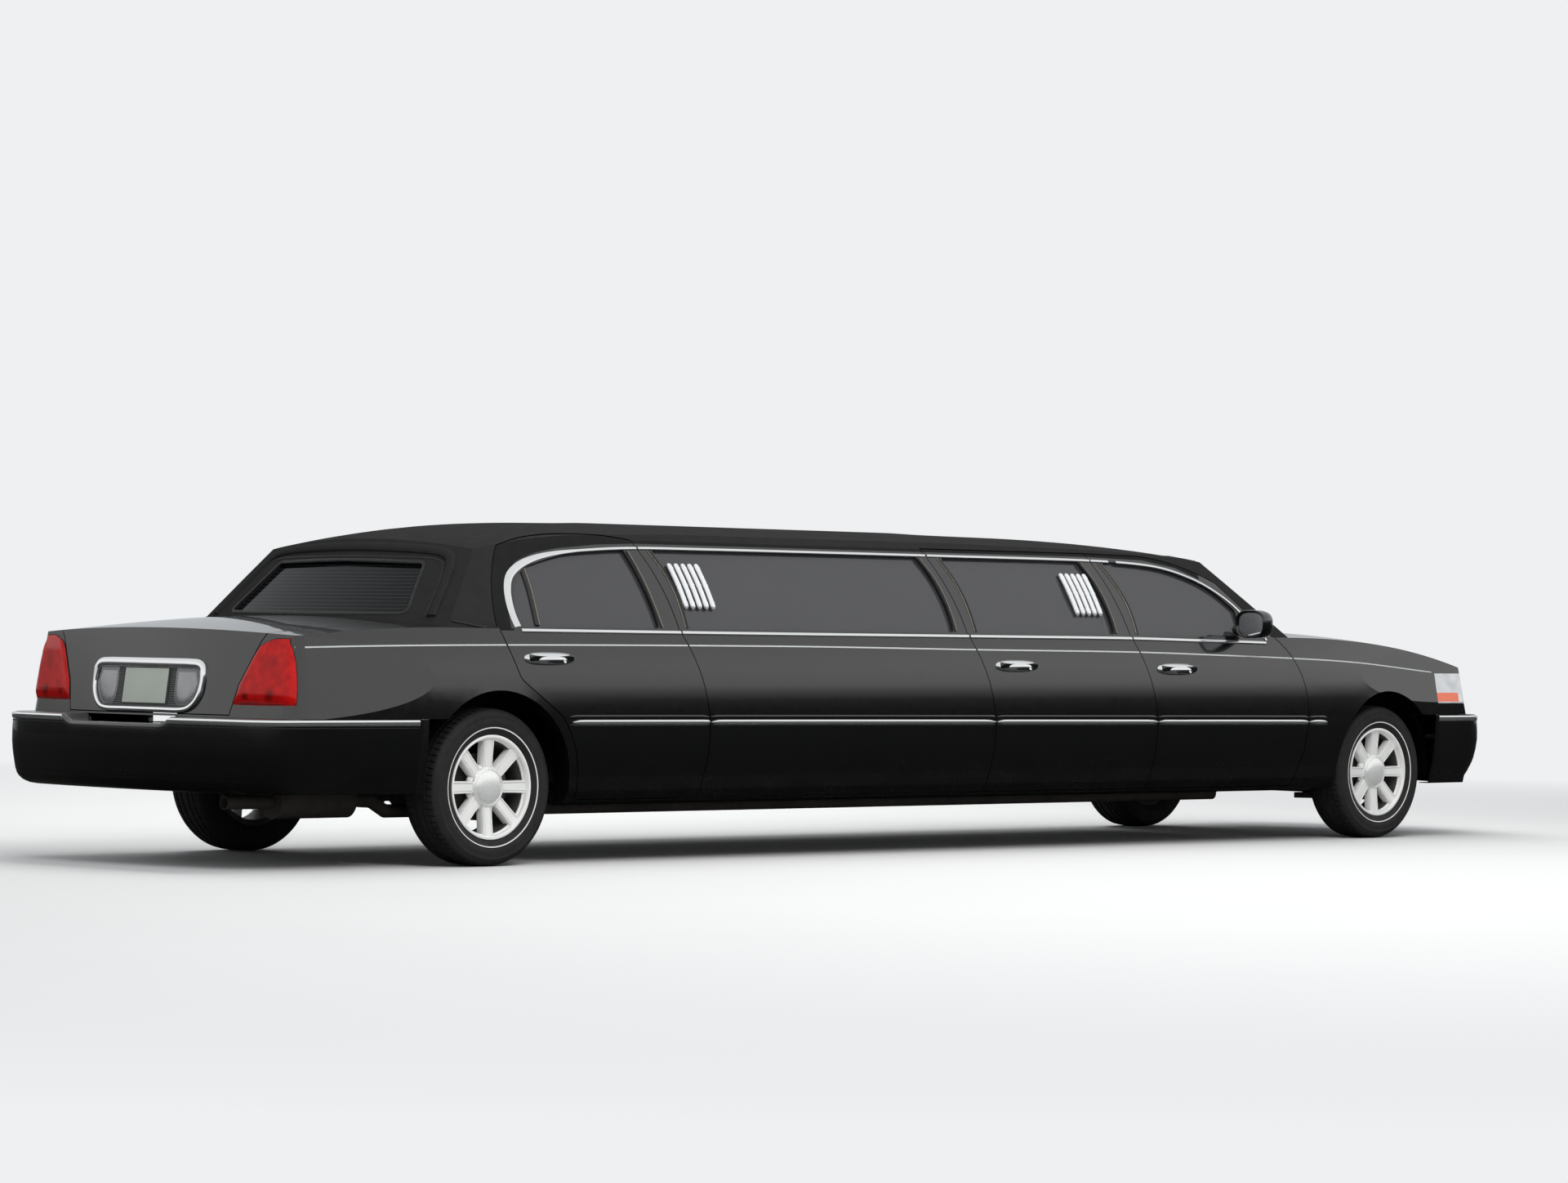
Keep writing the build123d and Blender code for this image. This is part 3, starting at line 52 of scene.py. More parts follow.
class Nodes:
    """Short calls for building the node tree of a material or of the world."""

    def __init__(self, owner, place="Object"):
        owner.use_nodes = True
        self.owner = owner
        self.tree = owner.node_tree
        self.shader = self.tree.nodes.get("Principled BSDF")
        self.place = self.add("ShaderNodeTexCoord").outputs[place]

    def feed(self, socket, value):
        """Links an output to the socket, or sets the socket to a plain value."""
        if isinstance(value, bpy.types.NodeSocket):
            self.tree.links.new(value, socket)
        else:
            socket.default_value = (*value, 1) if socket.type == "RGBA" else value

    def add(self, kind, sockets=None, **values):
        """New node; sockets says what each of its inputs gets."""
        node = self.tree.nodes.new(kind)
        for key, value in values.items():
            setattr(node, key, value)
        for key, value in (sockets or {}).items():
            self.feed(node.inputs[key], value)
        return node

    def surface(self, **values):
        """Feeds inputs of the surface shader, with an underscore for each space in their names."""
        for key, value in values.items():
            self.feed(self.shader.inputs[key.replace("_", " ")], value)

    def noise(self, scale, detail=4.0, stretch=None):
        place = self.place
        if stretch:
            place = self.add("ShaderNodeMapping", {"Vector": place, "Scale": stretch}).outputs["Vector"]
        node = self.add("ShaderNodeTexNoise", {"Vector": place, "Scale": scale, "Detail": detail})
        return node.outputs["Fac"]

    def pebbles(self):
        return self.add("ShaderNodeTexVoronoi", {"Vector": self.place, "Scale": 420.0}).outputs["Distance"]

    def span(self, value, low, high, to_low=0.0, to_high=1.0):
        return self.add("ShaderNodeMapRange", {"Value": value, "From Min": low, "From Max": high,
                                               "To Min": to_low, "To Max": to_high}).outputs["Result"]

    def uneven(self, scale, low, high, detail=4.0):
        """Noise spread between two values."""
        return self.span(self.noise(scale, detail), 0.3, 0.7, low, high)

    def math(self, kind, *values):
        return self.add("ShaderNodeMath", dict(enumerate(values)), operation=kind).outputs["Value"]

    def mix(self, factor, a, b):
        node = self.add("ShaderNodeMix", {"Factor": factor}, data_type="RGBA")
        for socket, value in zip([s for s in node.inputs if s.type == "RGBA"], (a, b)):
            self.feed(socket, value)
        return [s for s in node.outputs if s.type == "RGBA"][0]

    def ramp(self, factor, stops):
        """Colour ramp through stops of (position, colour)."""
        node = self.add("ShaderNodeValToRGB", {"Fac": factor})
        elements = node.color_ramp.elements
        elements.remove(elements[-1])
        for k, (position, colour) in enumerate(stops):
            element = elements.new(position) if k else elements[0]
            element.position = position
            element.color = (*colour, 1)
        return node.outputs["Color"]

    def axis(self, name):
        return self.add("ShaderNodeSeparateXYZ", {"Vector": self.place}).outputs[name]

    def away(self, a, b, a_middle, b_middle):
        """Distance of the point (a, b) from a middle."""
        squares = []
        for value, middle in ((a, a_middle), (b, b_middle)):
            apart = self.math("SUBTRACT", value, middle)
            squares.append(self.math("MULTIPLY", apart, apart))
        return self.math("SQRT", self.math("ADD", *squares))

    def bump(self, height, strength, distance=0.001):
        node = self.add("ShaderNodeBump", {"Height": height, "Strength": strength, "Distance": distance})
        self.surface(Normal=node.outputs["Normal"])


def material(name):
    return Nodes(bpy.data.materials.new(name))


def worn(name, dark, light, rough, scale, grain, bump, metallic=0.0, **values):
    """A general finish: colour that varies between two tones, uneven roughness and a fine grain."""
    m = material(name)
    m.surface(Metallic=metallic, Base_Color=m.mix(m.noise(scale, 5.0), dark, light),
              Roughness=m.uneven(scale * 3.1, *rough), **values)
    m.bump(m.noise(grain, 3.0), bump)
    return m.owner


def paint_nodes(name):
    """Clear-coated black with a little dust low on the car: the nodes, their colour and their roughness."""
    m = material(name)
    m.surface(Coat_Weight=1.0, Coat_Roughness=0.015, IOR=1.5)
    film = m.span(m.axis("Z"), 0.55, 0.22)
    dust = m.math("MULTIPLY", film, m.span(m.noise(5.0, 3.0, (1, 1, 3)), 0.35, 0.75, 0.02, 0.22))
    tone = m.mix(m.noise(3.0), (0.0010, 0.0011, 0.0013), (0.0018, 0.0019, 0.0022))
    rough = m.math("ADD", m.uneven(60.0, 0.18, 0.26), m.math("MULTIPLY", dust, 0.3))
    return m, m.mix(dust, tone, (0.014, 0.013, 0.011)), rough


def black_paint():
    m, colour, rough = paint_nodes("paint_black")
    m.surface(Base_Color=colour, Roughness=rough)
    m.bump(m.noise(260.0, 2.0), 0.004, 0.0004)
    return m.owner


# x, z of the line below which the sides are painted and above which the padded vinyl begins
VINYL_LINE = (
    (-4.6, 1.046), (-2.86, 1.046), (-2.852, 1.10), (-2.843, 1.16), (-2.825, 1.24), (-2.79, 1.30), (-2.70, 1.36),
    (-2.58, 1.397), (-2.44, 1.42), (-2.18, 1.443), (-1.94, 1.452), (1.18, 1.452), (1.61, 1.442), (1.84, 1.408),
    (2.05, 1.332), (2.19, 1.24), (2.26, 1.18), (2.33, 1.03),
)


def vinyl_over_paint():
    """Gloss paint below the window line, padded vinyl above it, in one material for doors and side panels."""
    m, paint_colour, paint_rough = paint_nodes("paint_and_vinyl")
    x0, x1 = VINYL_LINE[0][0], VINYL_LINE[-1][0]
    line = m.ramp(m.span(m.axis("X"), x0, x1), [((x - x0) / (x1 - x0), [z - 1.0] * 3) for x, z in VINYL_LINE])
    above = m.math("GREATER_THAN", m.math("SUBTRACT", m.axis("Z"), 1.0), line)
    inside = m.math("MULTIPLY", above, m.math("LESS_THAN", m.axis("X"), 2.0))
    painted = m.math("SUBTRACT", 1.0, inside)
    vinyl_colour = m.mix(m.noise(20.0, 5.0), (0.010, 0.010, 0.010), (0.016, 0.016, 0.0155))
    vinyl_rough = m.uneven(40.0, 0.62, 0.76)
    rough = m.math("ADD", m.math("MULTIPLY", inside, vinyl_rough), m.math("MULTIPLY", painted, paint_rough))
    m.surface(Base_Color=m.mix(inside, paint_colour, vinyl_colour), Roughness=rough, Coat_Weight=painted,
              Specular_IOR_Level=m.span(inside, 0.0, 1.0, 0.5, 0.05))
    m.bump(m.math("MULTIPLY", inside, m.pebbles()), 0.35, 0.0008)
    return m.owner


def vinyl_roof():
    m = material("vinyl_roof")
    m.surface(Base_Color=m.mix(m.noise(16.0, 6.0), (0.019, 0.019, 0.0185), (0.027, 0.027, 0.0262)),
              Roughness=m.uneven(34.0, 0.80, 0.92), Specular_IOR_Level=0.01)
    m.bump(m.pebbles(), 0.5, 0.0008)
    return m.owner


def glass_material(name, tint, alpha):
    m = material(name)
    m.surface(Base_Color=m.mix(m.noise(5.0, 3.0), tuple(0.88 * c for c in tint), tint),
              Roughness=m.uneven(24.0, 0.02, 0.036), Alpha=alpha, IOR=1.52, Coat_Weight=0.4,
              Coat_Roughness=0.01)
    return m.owner


def heated():
    """Dark glass of the back window with its fine level heater lines."""
    m = material("glass_heated")
    level = m.math("FRACT", m.math("MULTIPLY", m.axis("Z"), 62.0))
    line = m.math("LESS_THAN", m.math("ABSOLUTE", m.math("SUBTRACT", level, 0.5)), 0.055)
    tint = m.mix(m.noise(5.0, 3.0), (0.003, 0.0038, 0.0046), (0.0042, 0.0052, 0.0062))
    m.surface(Base_Color=m.mix(line, tint, (0.035, 0.038, 0.042)), Roughness=m.uneven(24.0, 0.03, 0.06),
              Alpha=0.96, IOR=1.22)
    return m.owner


def lamp_red():
    """Ribbed red lens with darker spots where the bulbs are and a darker band along its foot."""
    m = material("lens_red")
    y, z = m.math("ABSOLUTE", m.axis("Y")), m.axis("Z")
    red = m.mix(m.uneven(26.0, 0.0, 1.0, 3.0), (0.36, 0.002, 0.002), (0.55, 0.006, 0.005))
    red = m.mix(m.span(z, 0.768, 0.762, 0.0, 0.35), red, (0.32, 0.003, 0.003))
    for yc, zc, r, depth in ((0.80, 0.752, 0.034, 0.75), (0.66, 0.748, 0.022, 0.75), (0.79, 0.89, 0.05, 0.3)):
        spot = m.span(m.away(y, z, yc, zc), r * 0.4, r, 1.0, 0.0)
        red = m.mix(m.math("MULTIPLY", spot, depth), red, (0.09, 0.002, 0.002))
    m.surface(Base_Color=red, Roughness=m.uneven(50.0, 0.08, 0.16), Coat_Weight=0.12, Coat_Roughness=0.02,
              IOR=1.28)
    ribs = m.math("SINE", m.math("MULTIPLY", y, 900.0))
    m.bump(m.math("MULTIPLY", ribs, m.span(z, 0.78, 0.77)), 0.25, 0.0006)
    return m.owner


def headlamp_clear(name):
    """Clear lens over a bright reflector with two bowls, and an orange block at its lower outer corner."""
    m = material(name)
    y, z = m.math("ABSOLUTE", m.axis("Y")), m.axis("Z")
    silver = m.mix(m.uneven(12.0, 0.0, 1.0, 2.0), (0.50, 0.51, 0.53), (0.72, 0.73, 0.75))
    for yc, radius in ((0.585, 0.058), (0.735, 0.054)):
        away = m.away(y, z, yc, 0.795)
        rim = m.math("ABSOLUTE", m.math("SUBTRACT", away, radius))
        silver = m.mix(m.span(rim, 0.007, 0.003, 0.0, 0.8), silver, (0.12, 0.125, 0.13))
        silver = m.mix(m.span(away, 0.020, 0.014, 0.0, 0.7), silver, (0.20, 0.205, 0.21))
    block = m.math("MULTIPLY", m.span(z, 0.774, 0.771), m.span(y, 0.80, 0.806))
    block = m.math("MULTIPLY", block, m.math("LESS_THAN", m.axis("X"), 3.946))
    block = m.math("MULTIPLY", block, m.math("GREATER_THAN", z, 0.7245))
    m.surface(Base_Color=m.mix(block, silver, (0.78, 0.13, 0.04)), Roughness=m.uneven(50.0, 0.06, 0.14),
              Metallic=0.35, Coat_Weight=1.0, Coat_Roughness=0.02, IOR=1.49)
    m.bump(m.math("SINE", m.math("MULTIPLY", y, 520.0)), 0.2, 0.0006)
    return m.owner


def brushed_cap():
    m = material("alloy_cap")
    m.surface(Base_Color=m.mix(m.noise(30.0), (0.93, 0.94, 0.92), (0.98, 0.985, 0.97)),
              Roughness=m.uneven(700.0, 0.22, 0.34, 2.0), Metallic=0.55)
    m.bump(m.noise(900.0, 2.0), 0.08, 0.0003)
    return m.owner


def rubber():
    m = material("tyre_rubber")
    m.surface(Base_Color=m.mix(m.noise(12.0, 6.0), (0.010, 0.010, 0.0105), (0.022, 0.0215, 0.021)),
              Roughness=m.uneven(40.0, 0.55, 0.75), Specular_IOR_Level=0.35)
    m.bump(m.noise(350.0), 0.2, 0.0006)
    return m.owner


def ribbed_panel():
    m = material("panel_ribbed")
    m.surface(Base_Color=m.mix(m.noise(14.0), (0.035, 0.037, 0.039), (0.06, 0.062, 0.064)),
              Roughness=m.uneven(60.0, 0.4, 0.55))
    m.bump(m.math("SINE", m.math("MULTIPLY", m.axis("Z"), 620.0)), 0.5, 0.0015)
    return m.owner


paint = black_paint()
side_finish = vinyl_over_paint()
vinyl = vinyl_roof()
tinted = glass_material("glass_tinted", (0.038, 0.038, 0.042), 0.93)
heated_glass = heated()
screen_glass = glass_material("glass_screen", (0.03, 0.034, 0.036), 0.72)
clear_glass = glass_material("lens_plain", (0.32, 0.32, 0.33), 0.55)
red_lens = lamp_red()
clear_lens = headlamp_clear("lens_clear")
cap_metal = brushed_cap()
tyre_rubber = rubber()
# name, dark tone, light tone, roughness range, scale, grain scale, bump, metallic
chrome = worn("chrome", (0.84, 0.85, 0.87), (0.92, 0.93, 0.95), (0.05, 0.10), 6.0, 900.0, 0.01, 0.94)
alloy = worn("alloy_silver", (0.80, 0.80, 0.78), (0.90, 0.90, 0.88), (0.30, 0.42), 8.0, 800.0, 0.04, 0.2,
             Coat_Weight=0.5, Coat_Roughness=0.08)
bar_chrome = worn("chrome_bars", (0.84, 0.85, 0.86), (0.92, 0.93, 0.94), (0.08, 0.14), 6.0, 900.0, 0.01, 0.6)
white_rubber = worn("tyre_white", (0.60, 0.59, 0.56), (0.70, 0.69, 0.67), (0.5, 0.6), 20.0, 500.0, 0.1)
frame_paint = worn("frame_paint", (0.010, 0.010, 0.010), (0.028, 0.026, 0.024), (0.45, 0.7), 6.0, 240.0, 0.25)
iron = worn("cast_iron", (0.030, 0.028, 0.026), (0.075, 0.062, 0.052), (0.55, 0.8), 9.0, 160.0, 0.4, 0.5)
barrel_metal = worn("barrel_dark", (0.05, 0.05, 0.048), (0.11, 0.108, 0.10), (0.4, 0.6), 12.0, 300.0, 0.2,
                    0.5)
sooty = worn("steel_sooty", (0.020, 0.018, 0.016), (0.050, 0.043, 0.036), (0.55, 0.75), 7.0, 220.0, 0.3, 0.4)
leather = worn("leather_black", (0.012, 0.012, 0.013), (0.026, 0.025, 0.025), (0.38, 0.5), 10.0, 190.0, 0.35,
               Sheen_Weight=0.15)
trim = worn("trim_plastic", (0.016, 0.016, 0.017), (0.030, 0.030, 0.031), (0.5, 0.62), 12.0, 420.0, 0.3)
black_plastic = worn("plastic_black", (0.009, 0.009, 0.0095), (0.017, 0.017, 0.018), (0.32, 0.45), 10.0, 380.0,
                     0.15)
rubber_seal = worn("rubber_seal", (0.006, 0.006, 0.006), (0.012, 0.012, 0.012), (0.55, 0.7), 16.0, 500.0, 0.2)
plate_blank = worn("plate_blank", (0.40, 0.44, 0.38), (0.46, 0.50, 0.44), (0.35, 0.45), 9.0, 260.0, 0.05)
stripe_paint = worn("stripe_silver", (0.42, 0.43, 0.44), (0.50, 0.51, 0.52), (0.2, 0.3), 14.0, 500.0, 0.02)
frame_edge = worn("frame_edge", (0.20, 0.185, 0.15), (0.28, 0.26, 0.22), (0.22, 0.32), 9.0, 500.0, 0.03, 0.7)
mirror_silver = worn("mirror_silver", (0.70, 0.72, 0.74), (0.76, 0.78, 0.80), (0.02, 0.05), 5.0, 700.0, 0.005,
                     1.0)

SLOT_FINISH = {
    "paint": paint, "vinyl": vinyl, "bumper": paint, "tinted_glass": tinted, "red_lens": red_lens,
    "clear_lens": clear_lens, "chrome": chrome, "alloy": alloy, "tyre": tyre_rubber, "frame": frame_paint,
    "iron": iron, "steel": sooty, "leather": leather, "trim": trim,
}
NODE_FINISH = {"side_panels": side_finish, "windscreen": screen_glass, "rear_window": heated_glass,
               "tail_lamps": paint}
for row in frame["record"]["subparts"]:
    name = row["node"]
    finish = NODE_FINISH.get(name, SLOT_FINISH[row["material_slot"]])
    if "door_" in name and "glass" not in name:
        finish = side_finish
    materials = frame["nodes"][name].data.materials
    materials.clear()
    materials.append(finish)


# Shared building calls

def piece(name, verts, faces, finish, body):
    mesh = bpy.data.meshes.new(name)
    mesh.from_pydata([tuple(v) for v in verts], [], [tuple(f) for f in faces])
    bm = bmesh.new()
    bm.from_mesh(mesh)
    bmesh.ops.remove_doubles(bm, verts=bm.verts, dist=1e-7)
    bmesh.ops.recalc_face_normals(bm, faces=bm.faces)
    bm.to_mesh(mesh)
    bm.free()
    ob = bpy.data.objects.new(name, mesh)
    scene.collection.objects.link(ob)
    mesh.materials.append(finish)
    mesh.polygons.foreach_set("use_smooth", [True] * len(mesh.polygons))
    mesh.set_sharp_from_angle(angle=math.radians(38))
    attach(ob, body)
    return ob


def thicken(ob, thickness):
    ob.modifiers.new("thick", "SOLIDIFY").thickness = thickness


class Shape:
    """Collects vertices and faces of one piece."""

    def __init__(self):
        self.verts = []
        self.faces = []

    def grid(self, rows, closed_u=False, closed_v=False, caps=False):
        """Skin over rows of points; u runs across the rows, v along them."""
        base, n, m = len(self.verts), len(rows), len(rows[0])
        for row in rows:
            self.verts.extend(row)
        for i in range(n - 1 + closed_u):
            a, b = base + i * m, base + (i + 1) % n * m
            for j in range(m - 1 + closed_v):
                k = (j + 1) % m
                self.faces.append((a + j, a + k, b + k, b + j))
        if caps:
            self.faces.append(tuple(base + j for j in range(m)))
            self.close(m)

    def close(self, count):
        """Face over the last row of points."""
        self.faces.append(tuple(range(len(self.verts) - 1, len(self.verts) - 1 - count, -1)))

    def make(self, name, finish, body, slot):
        return piece(name, self.verts, self.faces, finish, body)


def between(a, b, t_a, t_b, t):
    return a * ((t_b - t) / (t_b - t_a)) + b * ((t - t_a) / (t_b - t_a))


def smooth_line(points, step, closed=False):
    """Points of a smooth curve through the given ones, about step apart."""
    pts = [Vector(p) for p in points]
    n = len(pts)
    out = []
    for i in range(n if closed else n - 1):
        p0 = pts[i - 1] if closed or i > 0 else 2 * pts[0] - pts[1]
        p1, p2 = pts[i], pts[(i + 1) % n]
        p3 = pts[(i + 2) % n] if closed or i + 2 < n else 2 * p2 - p1
        count = max(1, round((p2 - p1).length / step))
        t1 = max((p1 - p0).length, 1e-6) ** 0.5
        t2 = t1 + max((p2 - p1).length, 1e-6) ** 0.5
        t3 = t2 + max((p3 - p2).length, 1e-6) ** 0.5
        for k in range(count):
            t = t1 + (t2 - t1) * k / count
            a1, a2, a3 = between(p0, p1, 0.0, t1, t), between(p1, p2, t1, t2, t), between(p2, p3, t2, t3, t)
            out.append(between(between(a1, a2, 0.0, t2, t), between(a2, a3, t1, t3, t), t1, t2, t))
    if not closed:
        out.append(pts[-1])
    return out


def round_line(half_w, half_h, power, count):
    """Points of an oval round the origin; a higher power makes it squarer."""
    def flat(value):
        return math.copysign(abs(value) ** (2 / power), value)

    return [(half_w * flat(math.cos(a)), half_h * flat(math.sin(a)))
            for a in (2 * math.pi * k / count for k in range(count))]


def both_halves(half_line):
    """Whole outline of (y, z) from its left half."""
    return list(half_line) + [(-y, z) for y, z in reversed(half_line) if y > 0]


class Skin:
    """Ray casts onto the CAD nodes named, each hit with its point, its normal and the node hit."""

    def __init__(self, names):
        verts, faces, self.owner = [], [], []
        for name in names:
            ob = frame["nodes"][name]
            base = len(verts)
            verts.extend(v.co.copy() for v in ob.data.vertices)
            for p in ob.data.polygons:
                faces.append([base + i for i in p.vertices])
                self.owner.append(name)
        self.tree = BVHTree.FromPolygons(verts, faces)

    def hit(self, start, direction):
        point, normal, index, _ = self.tree.ray_cast(Vector(start), Vector(direction))
        if point is None:
            return None
        if normal.dot(Vector(direction)) > 0:
            normal = -normal
        return point, normal, self.owner[index]

    def from_side(self, x, z, side):
        """Hit of a level ray from beside the car at x and z in mm."""
        return self.hit((x * MM, side * BESIDE, z * MM), (0, -side, 0))


node_body = {n: b for b, members in frame["record"]["behaviour"]["bodies"].items() for n in members}
node_names = [r["node"] for r in frame["record"]["subparts"]]
OUTER = ("roof", "rear", "front", "mid", "side", "hood", "trunk", "headlamps", "tail")
outside = [n for n in node_names
           if n.split("_")[0] in OUTER and not any(word in n for word in ("seats", "suspension", "axle"))]
skin = Skin(outside)
solid_skin = Skin([n for n in outside if "glass" not in n and "window" not in n])
glass_skin = Skin([n for n in node_names if "glass" in n])

STRIP = ((-1.0, -0.15), (-1.0, 0.55), (-0.72, 0.92), (-0.25, 1.0), (0.25, 1.0), (0.72, 0.92), (1.0, 0.55),
         (1.0, -0.15))
FLAT = ((-1.0, -0.5), (-1.0, 1.0), (1.0, 1.0), (1.0, -0.5))


def sweep(shape, points, normals, half, height, profile=STRIP, taper=0.0, closed=False):
    """Adds a strip to the shape: its profile is laid across the line, height along the normals."""
    rows = []
    n = len(points)
    for i, (p, normal) in enumerate(zip(points, normals)):
        if closed:
            along = (points[(i + 1) % n] - points[i - 1]).normalized()
        else:
            along = (points[min(i + 1, n - 1)] - points[max(i - 1, 0)]).normalized()
        across = normal.cross(along).normalized()
        k = 1.0
        if taper:
            d = min((p - points[0]).length, (p - points[-1]).length)
            k = min(1.0, 0.25 + 0.75 * math.sin(min(d / taper, 1.0) * math.pi / 2))
        h = half[i] if isinstance(half, list) else half
        rows.append([p + across * (h * k * u) + normal * (height * v) for u, v in profile])
    shape.grid(rows, closed_u=closed, closed_v=True, caps=not closed)


def side_strip(name, line, width, height, finish, slot, sides=SIDES, profile=STRIP, step=18.0, taper=0.0,
               widths=None, on=solid_skin):
    """Strips along a line of (x, z) in mm on the car's side, one piece for each body it crosses."""
    dense = smooth_line([(x, 0, z) for x, z in line], step)
    fine = []
    for a, b in zip(dense, dense[1:]):
        count = max(1, round((b - a).length / 2.0))
        fine.extend(a.lerp(b, k / count) for k in range(count))
    fine.append(dense[-1])
    stride = max(1, round(step / 2.0))
    for side_name, side in sides:
        runs, last, previous = [], None, None
        for p in fine:
            found, owner = on.from_side(p.x, p.z, side), None
            if found:
                if previous is None or abs(found[0].y - previous) <= 0.004:
                    owner = node_body[found[2]]
                previous = found[0].y
            if owner and owner != last:
                runs.append((owner, []))
            if owner:
                runs[-1][1].append(found[:2])
            last = owner
        runs = [r for r in runs if len(r[1]) > 3]
        for i, (owner, hits) in enumerate(runs):
            keep = sorted({*range(1, len(hits) - 1, stride), len(hits) - 2})
            points, normals = [hits[k][0] for k in keep], [hits[k][1] for k in keep]
            if len(points) < 2:
                continue
            half = [widths(q.x / MM) / 2 * MM for q in points] if widths else width / 2 * MM
            shape = Shape()
            sweep(shape, points, normals, half, height * MM, profile, taper * MM)
            shape.make(f"{name}_{side_name}_{i}", finish, owner, slot)


# Camera, floor and light

FRAME_WIDTH, FRAME_HEIGHT = 1920, 1448
FOCAL = 6103.3
YAW, PITCH, ROLL = (math.radians(a) for a in (44.704, 0.422, 0.765))
CAMERA_PLACE = (-17.6015, -17.515, 1.072)
SENSOR = 36.0
view = Vector((math.sin(YAW) * math.cos(PITCH), math.cos(YAW) * math.cos(PITCH), math.sin(PITCH)))
across = view.cross(Vector((0, 0, 1))).normalized()
upward = across.cross(view)
right = across * math.cos(ROLL) + upward * math.sin(ROLL)
up = upward * math.cos(ROLL) - across * math.sin(ROLL)
camera = bpy.data.objects.new("camera", bpy.data.cameras.new("camera"))
scene.collection.objects.link(camera)
camera.matrix_world = Matrix([*zip(right, up, -view, CAMERA_PLACE), (0, 0, 0, 1)])
camera.data.sensor_width = SENSOR
camera.data.lens = FOCAL / FRAME_WIDTH * SENSOR
camera.data.clip_end = 2000.0
scene.camera = camera

BACKDROP = (0.86, 0.87, 0.885)
m = material("floor")
glossy = m.add("ShaderNodeLightPath").outputs["Is Glossy Ray"]
colour = m.mix(m.noise(0.7, 6.0), (0.645, 0.64, 0.63), (0.665, 0.66, 0.652))
m.surface(Base_Color=m.mix(glossy, colour, (0.010, 0.011, 0.009)), Roughness=0.9, Specular_IOR_Level=0.1)
# the floor turns into the backdrop away from the car, and it is clear from below
reach = m.away(m.axis("X"), m.axis("Y"), 0.0, 0.0)
fade = m.math("MULTIPLY", m.span(reach, 6.5, 14.0), m.math("SUBTRACT", 1.0, glossy))
haze = m.add("ShaderNodeEmission", {"Color": BACKDROP})
blend = m.add("ShaderNodeMixShader", {"Fac": fade, 1: m.shader.outputs["BSDF"], 2: haze.outputs["Emission"]})
below = m.add("ShaderNodeNewGeometry").outputs["Backfacing"]
clear = m.add("ShaderNodeBsdfTransparent").outputs["BSDF"]
two_faced = m.add("ShaderNodeMixShader", {"Fac": below, 1: blend.outputs["Shader"], 2: clear})
m.feed(m.tree.nodes["Material Output"].inputs["Surface"], two_faced.outputs["Shader"])
floor = bpy.data.objects.new("floor", bpy.data.meshes.new("floor"))
FLOOR_RADIUS, FLOOR_CORNERS = 300, 48
ring = [(FLOOR_RADIUS * math.cos(a), FLOOR_RADIUS * math.sin(a), 0)
        for a in (2 * math.pi * k / FLOOR_CORNERS for k in range(FLOOR_CORNERS))]
floor.data.from_pydata(ring, [], [tuple(range(FLOOR_CORNERS))])
floor.data.materials.append(m.owner)
scene.collection.objects.link(floor)

scene.world = bpy.data.worlds.new("studio")
m = Nodes(scene.world, "Generated")
height = m.axis("Z")
sky = m.ramp(height, ((0.0, (0.80, 0.82, 0.84)), (0.9, (0.62, 0.66, 0.70))))
# what gloss mirrors: a dark horizon, a bright band over it and an even sky, paler on the car's far side
MIRRORED = ((0.0, 0.03), (0.09, 0.05), (0.13, 0.6), (0.17, 1.28), (0.27, 1.35), (0.4, 1.12), (0.9, 1.0))
mirrored = m.ramp(height, [(position, (grey * 0.99, grey, grey * 0.985)) for position, grey in MIRRORED])
beyond = m.math("ADD", m.math("MULTIPLY", m.axis("X"), 0.7), m.math("MULTIPLY", m.axis("Y"), 0.7))
far_side = m.mix(m.span(beyond, 0.45, 0.85), mirrored, (0.74, 0.77, 0.80))
path = m.add("ShaderNodeLightPath").outputs
back = m.tree.nodes["Background"]
m.feed(back.inputs["Color"], m.mix(path["Is Glossy Ray"], sky, far_side))
m.feed(back.inputs["Strength"], 0.72)
shown = m.add("ShaderNodeBackground", {"Color": BACKDROP, "Strength": 1.0})
pick = m.add("ShaderNodeMixShader", {"Fac": path["Is Camera Ray"], 1: back.outputs["Background"],
                                     2: shown.outputs["Background"]})
m.feed(m.tree.nodes["World Output"].inputs["Surface"], pick.outputs["Shader"])

LIGHTS = (
    # name, place, looks at, width, length, power
    ("key", (-6.0, -10.0, 9.0), (0, 0, 0.8), 7.0, 5.0, 900.0),
    ("top", (0.5, 0.0, 8.0), (0.5, 0, 0), 5.0, 12.0, 700.0),
    ("far", (6.0, 10.0, 7.0), (0, 0, 0.8), 7.0, 4.0, 450.0),
)
for name, place, target, width, length, power in LIGHTS:
    lamp = bpy.data.lights.new(name, "AREA")
    lamp.shape = "RECTANGLE"
    lamp.size, lamp.size_y = width, length
    lamp.energy = power
    ob = bpy.data.objects.new(name, lamp)
    ob.location = place
    ob.rotation_euler = (Vector(target) - Vector(place)).to_track_quat("-Z", "Y").to_euler()
    ob.visible_glossy = False
    scene.collection.objects.link(ob)

scene.view_settings.view_transform = "Standard"


# Side trim

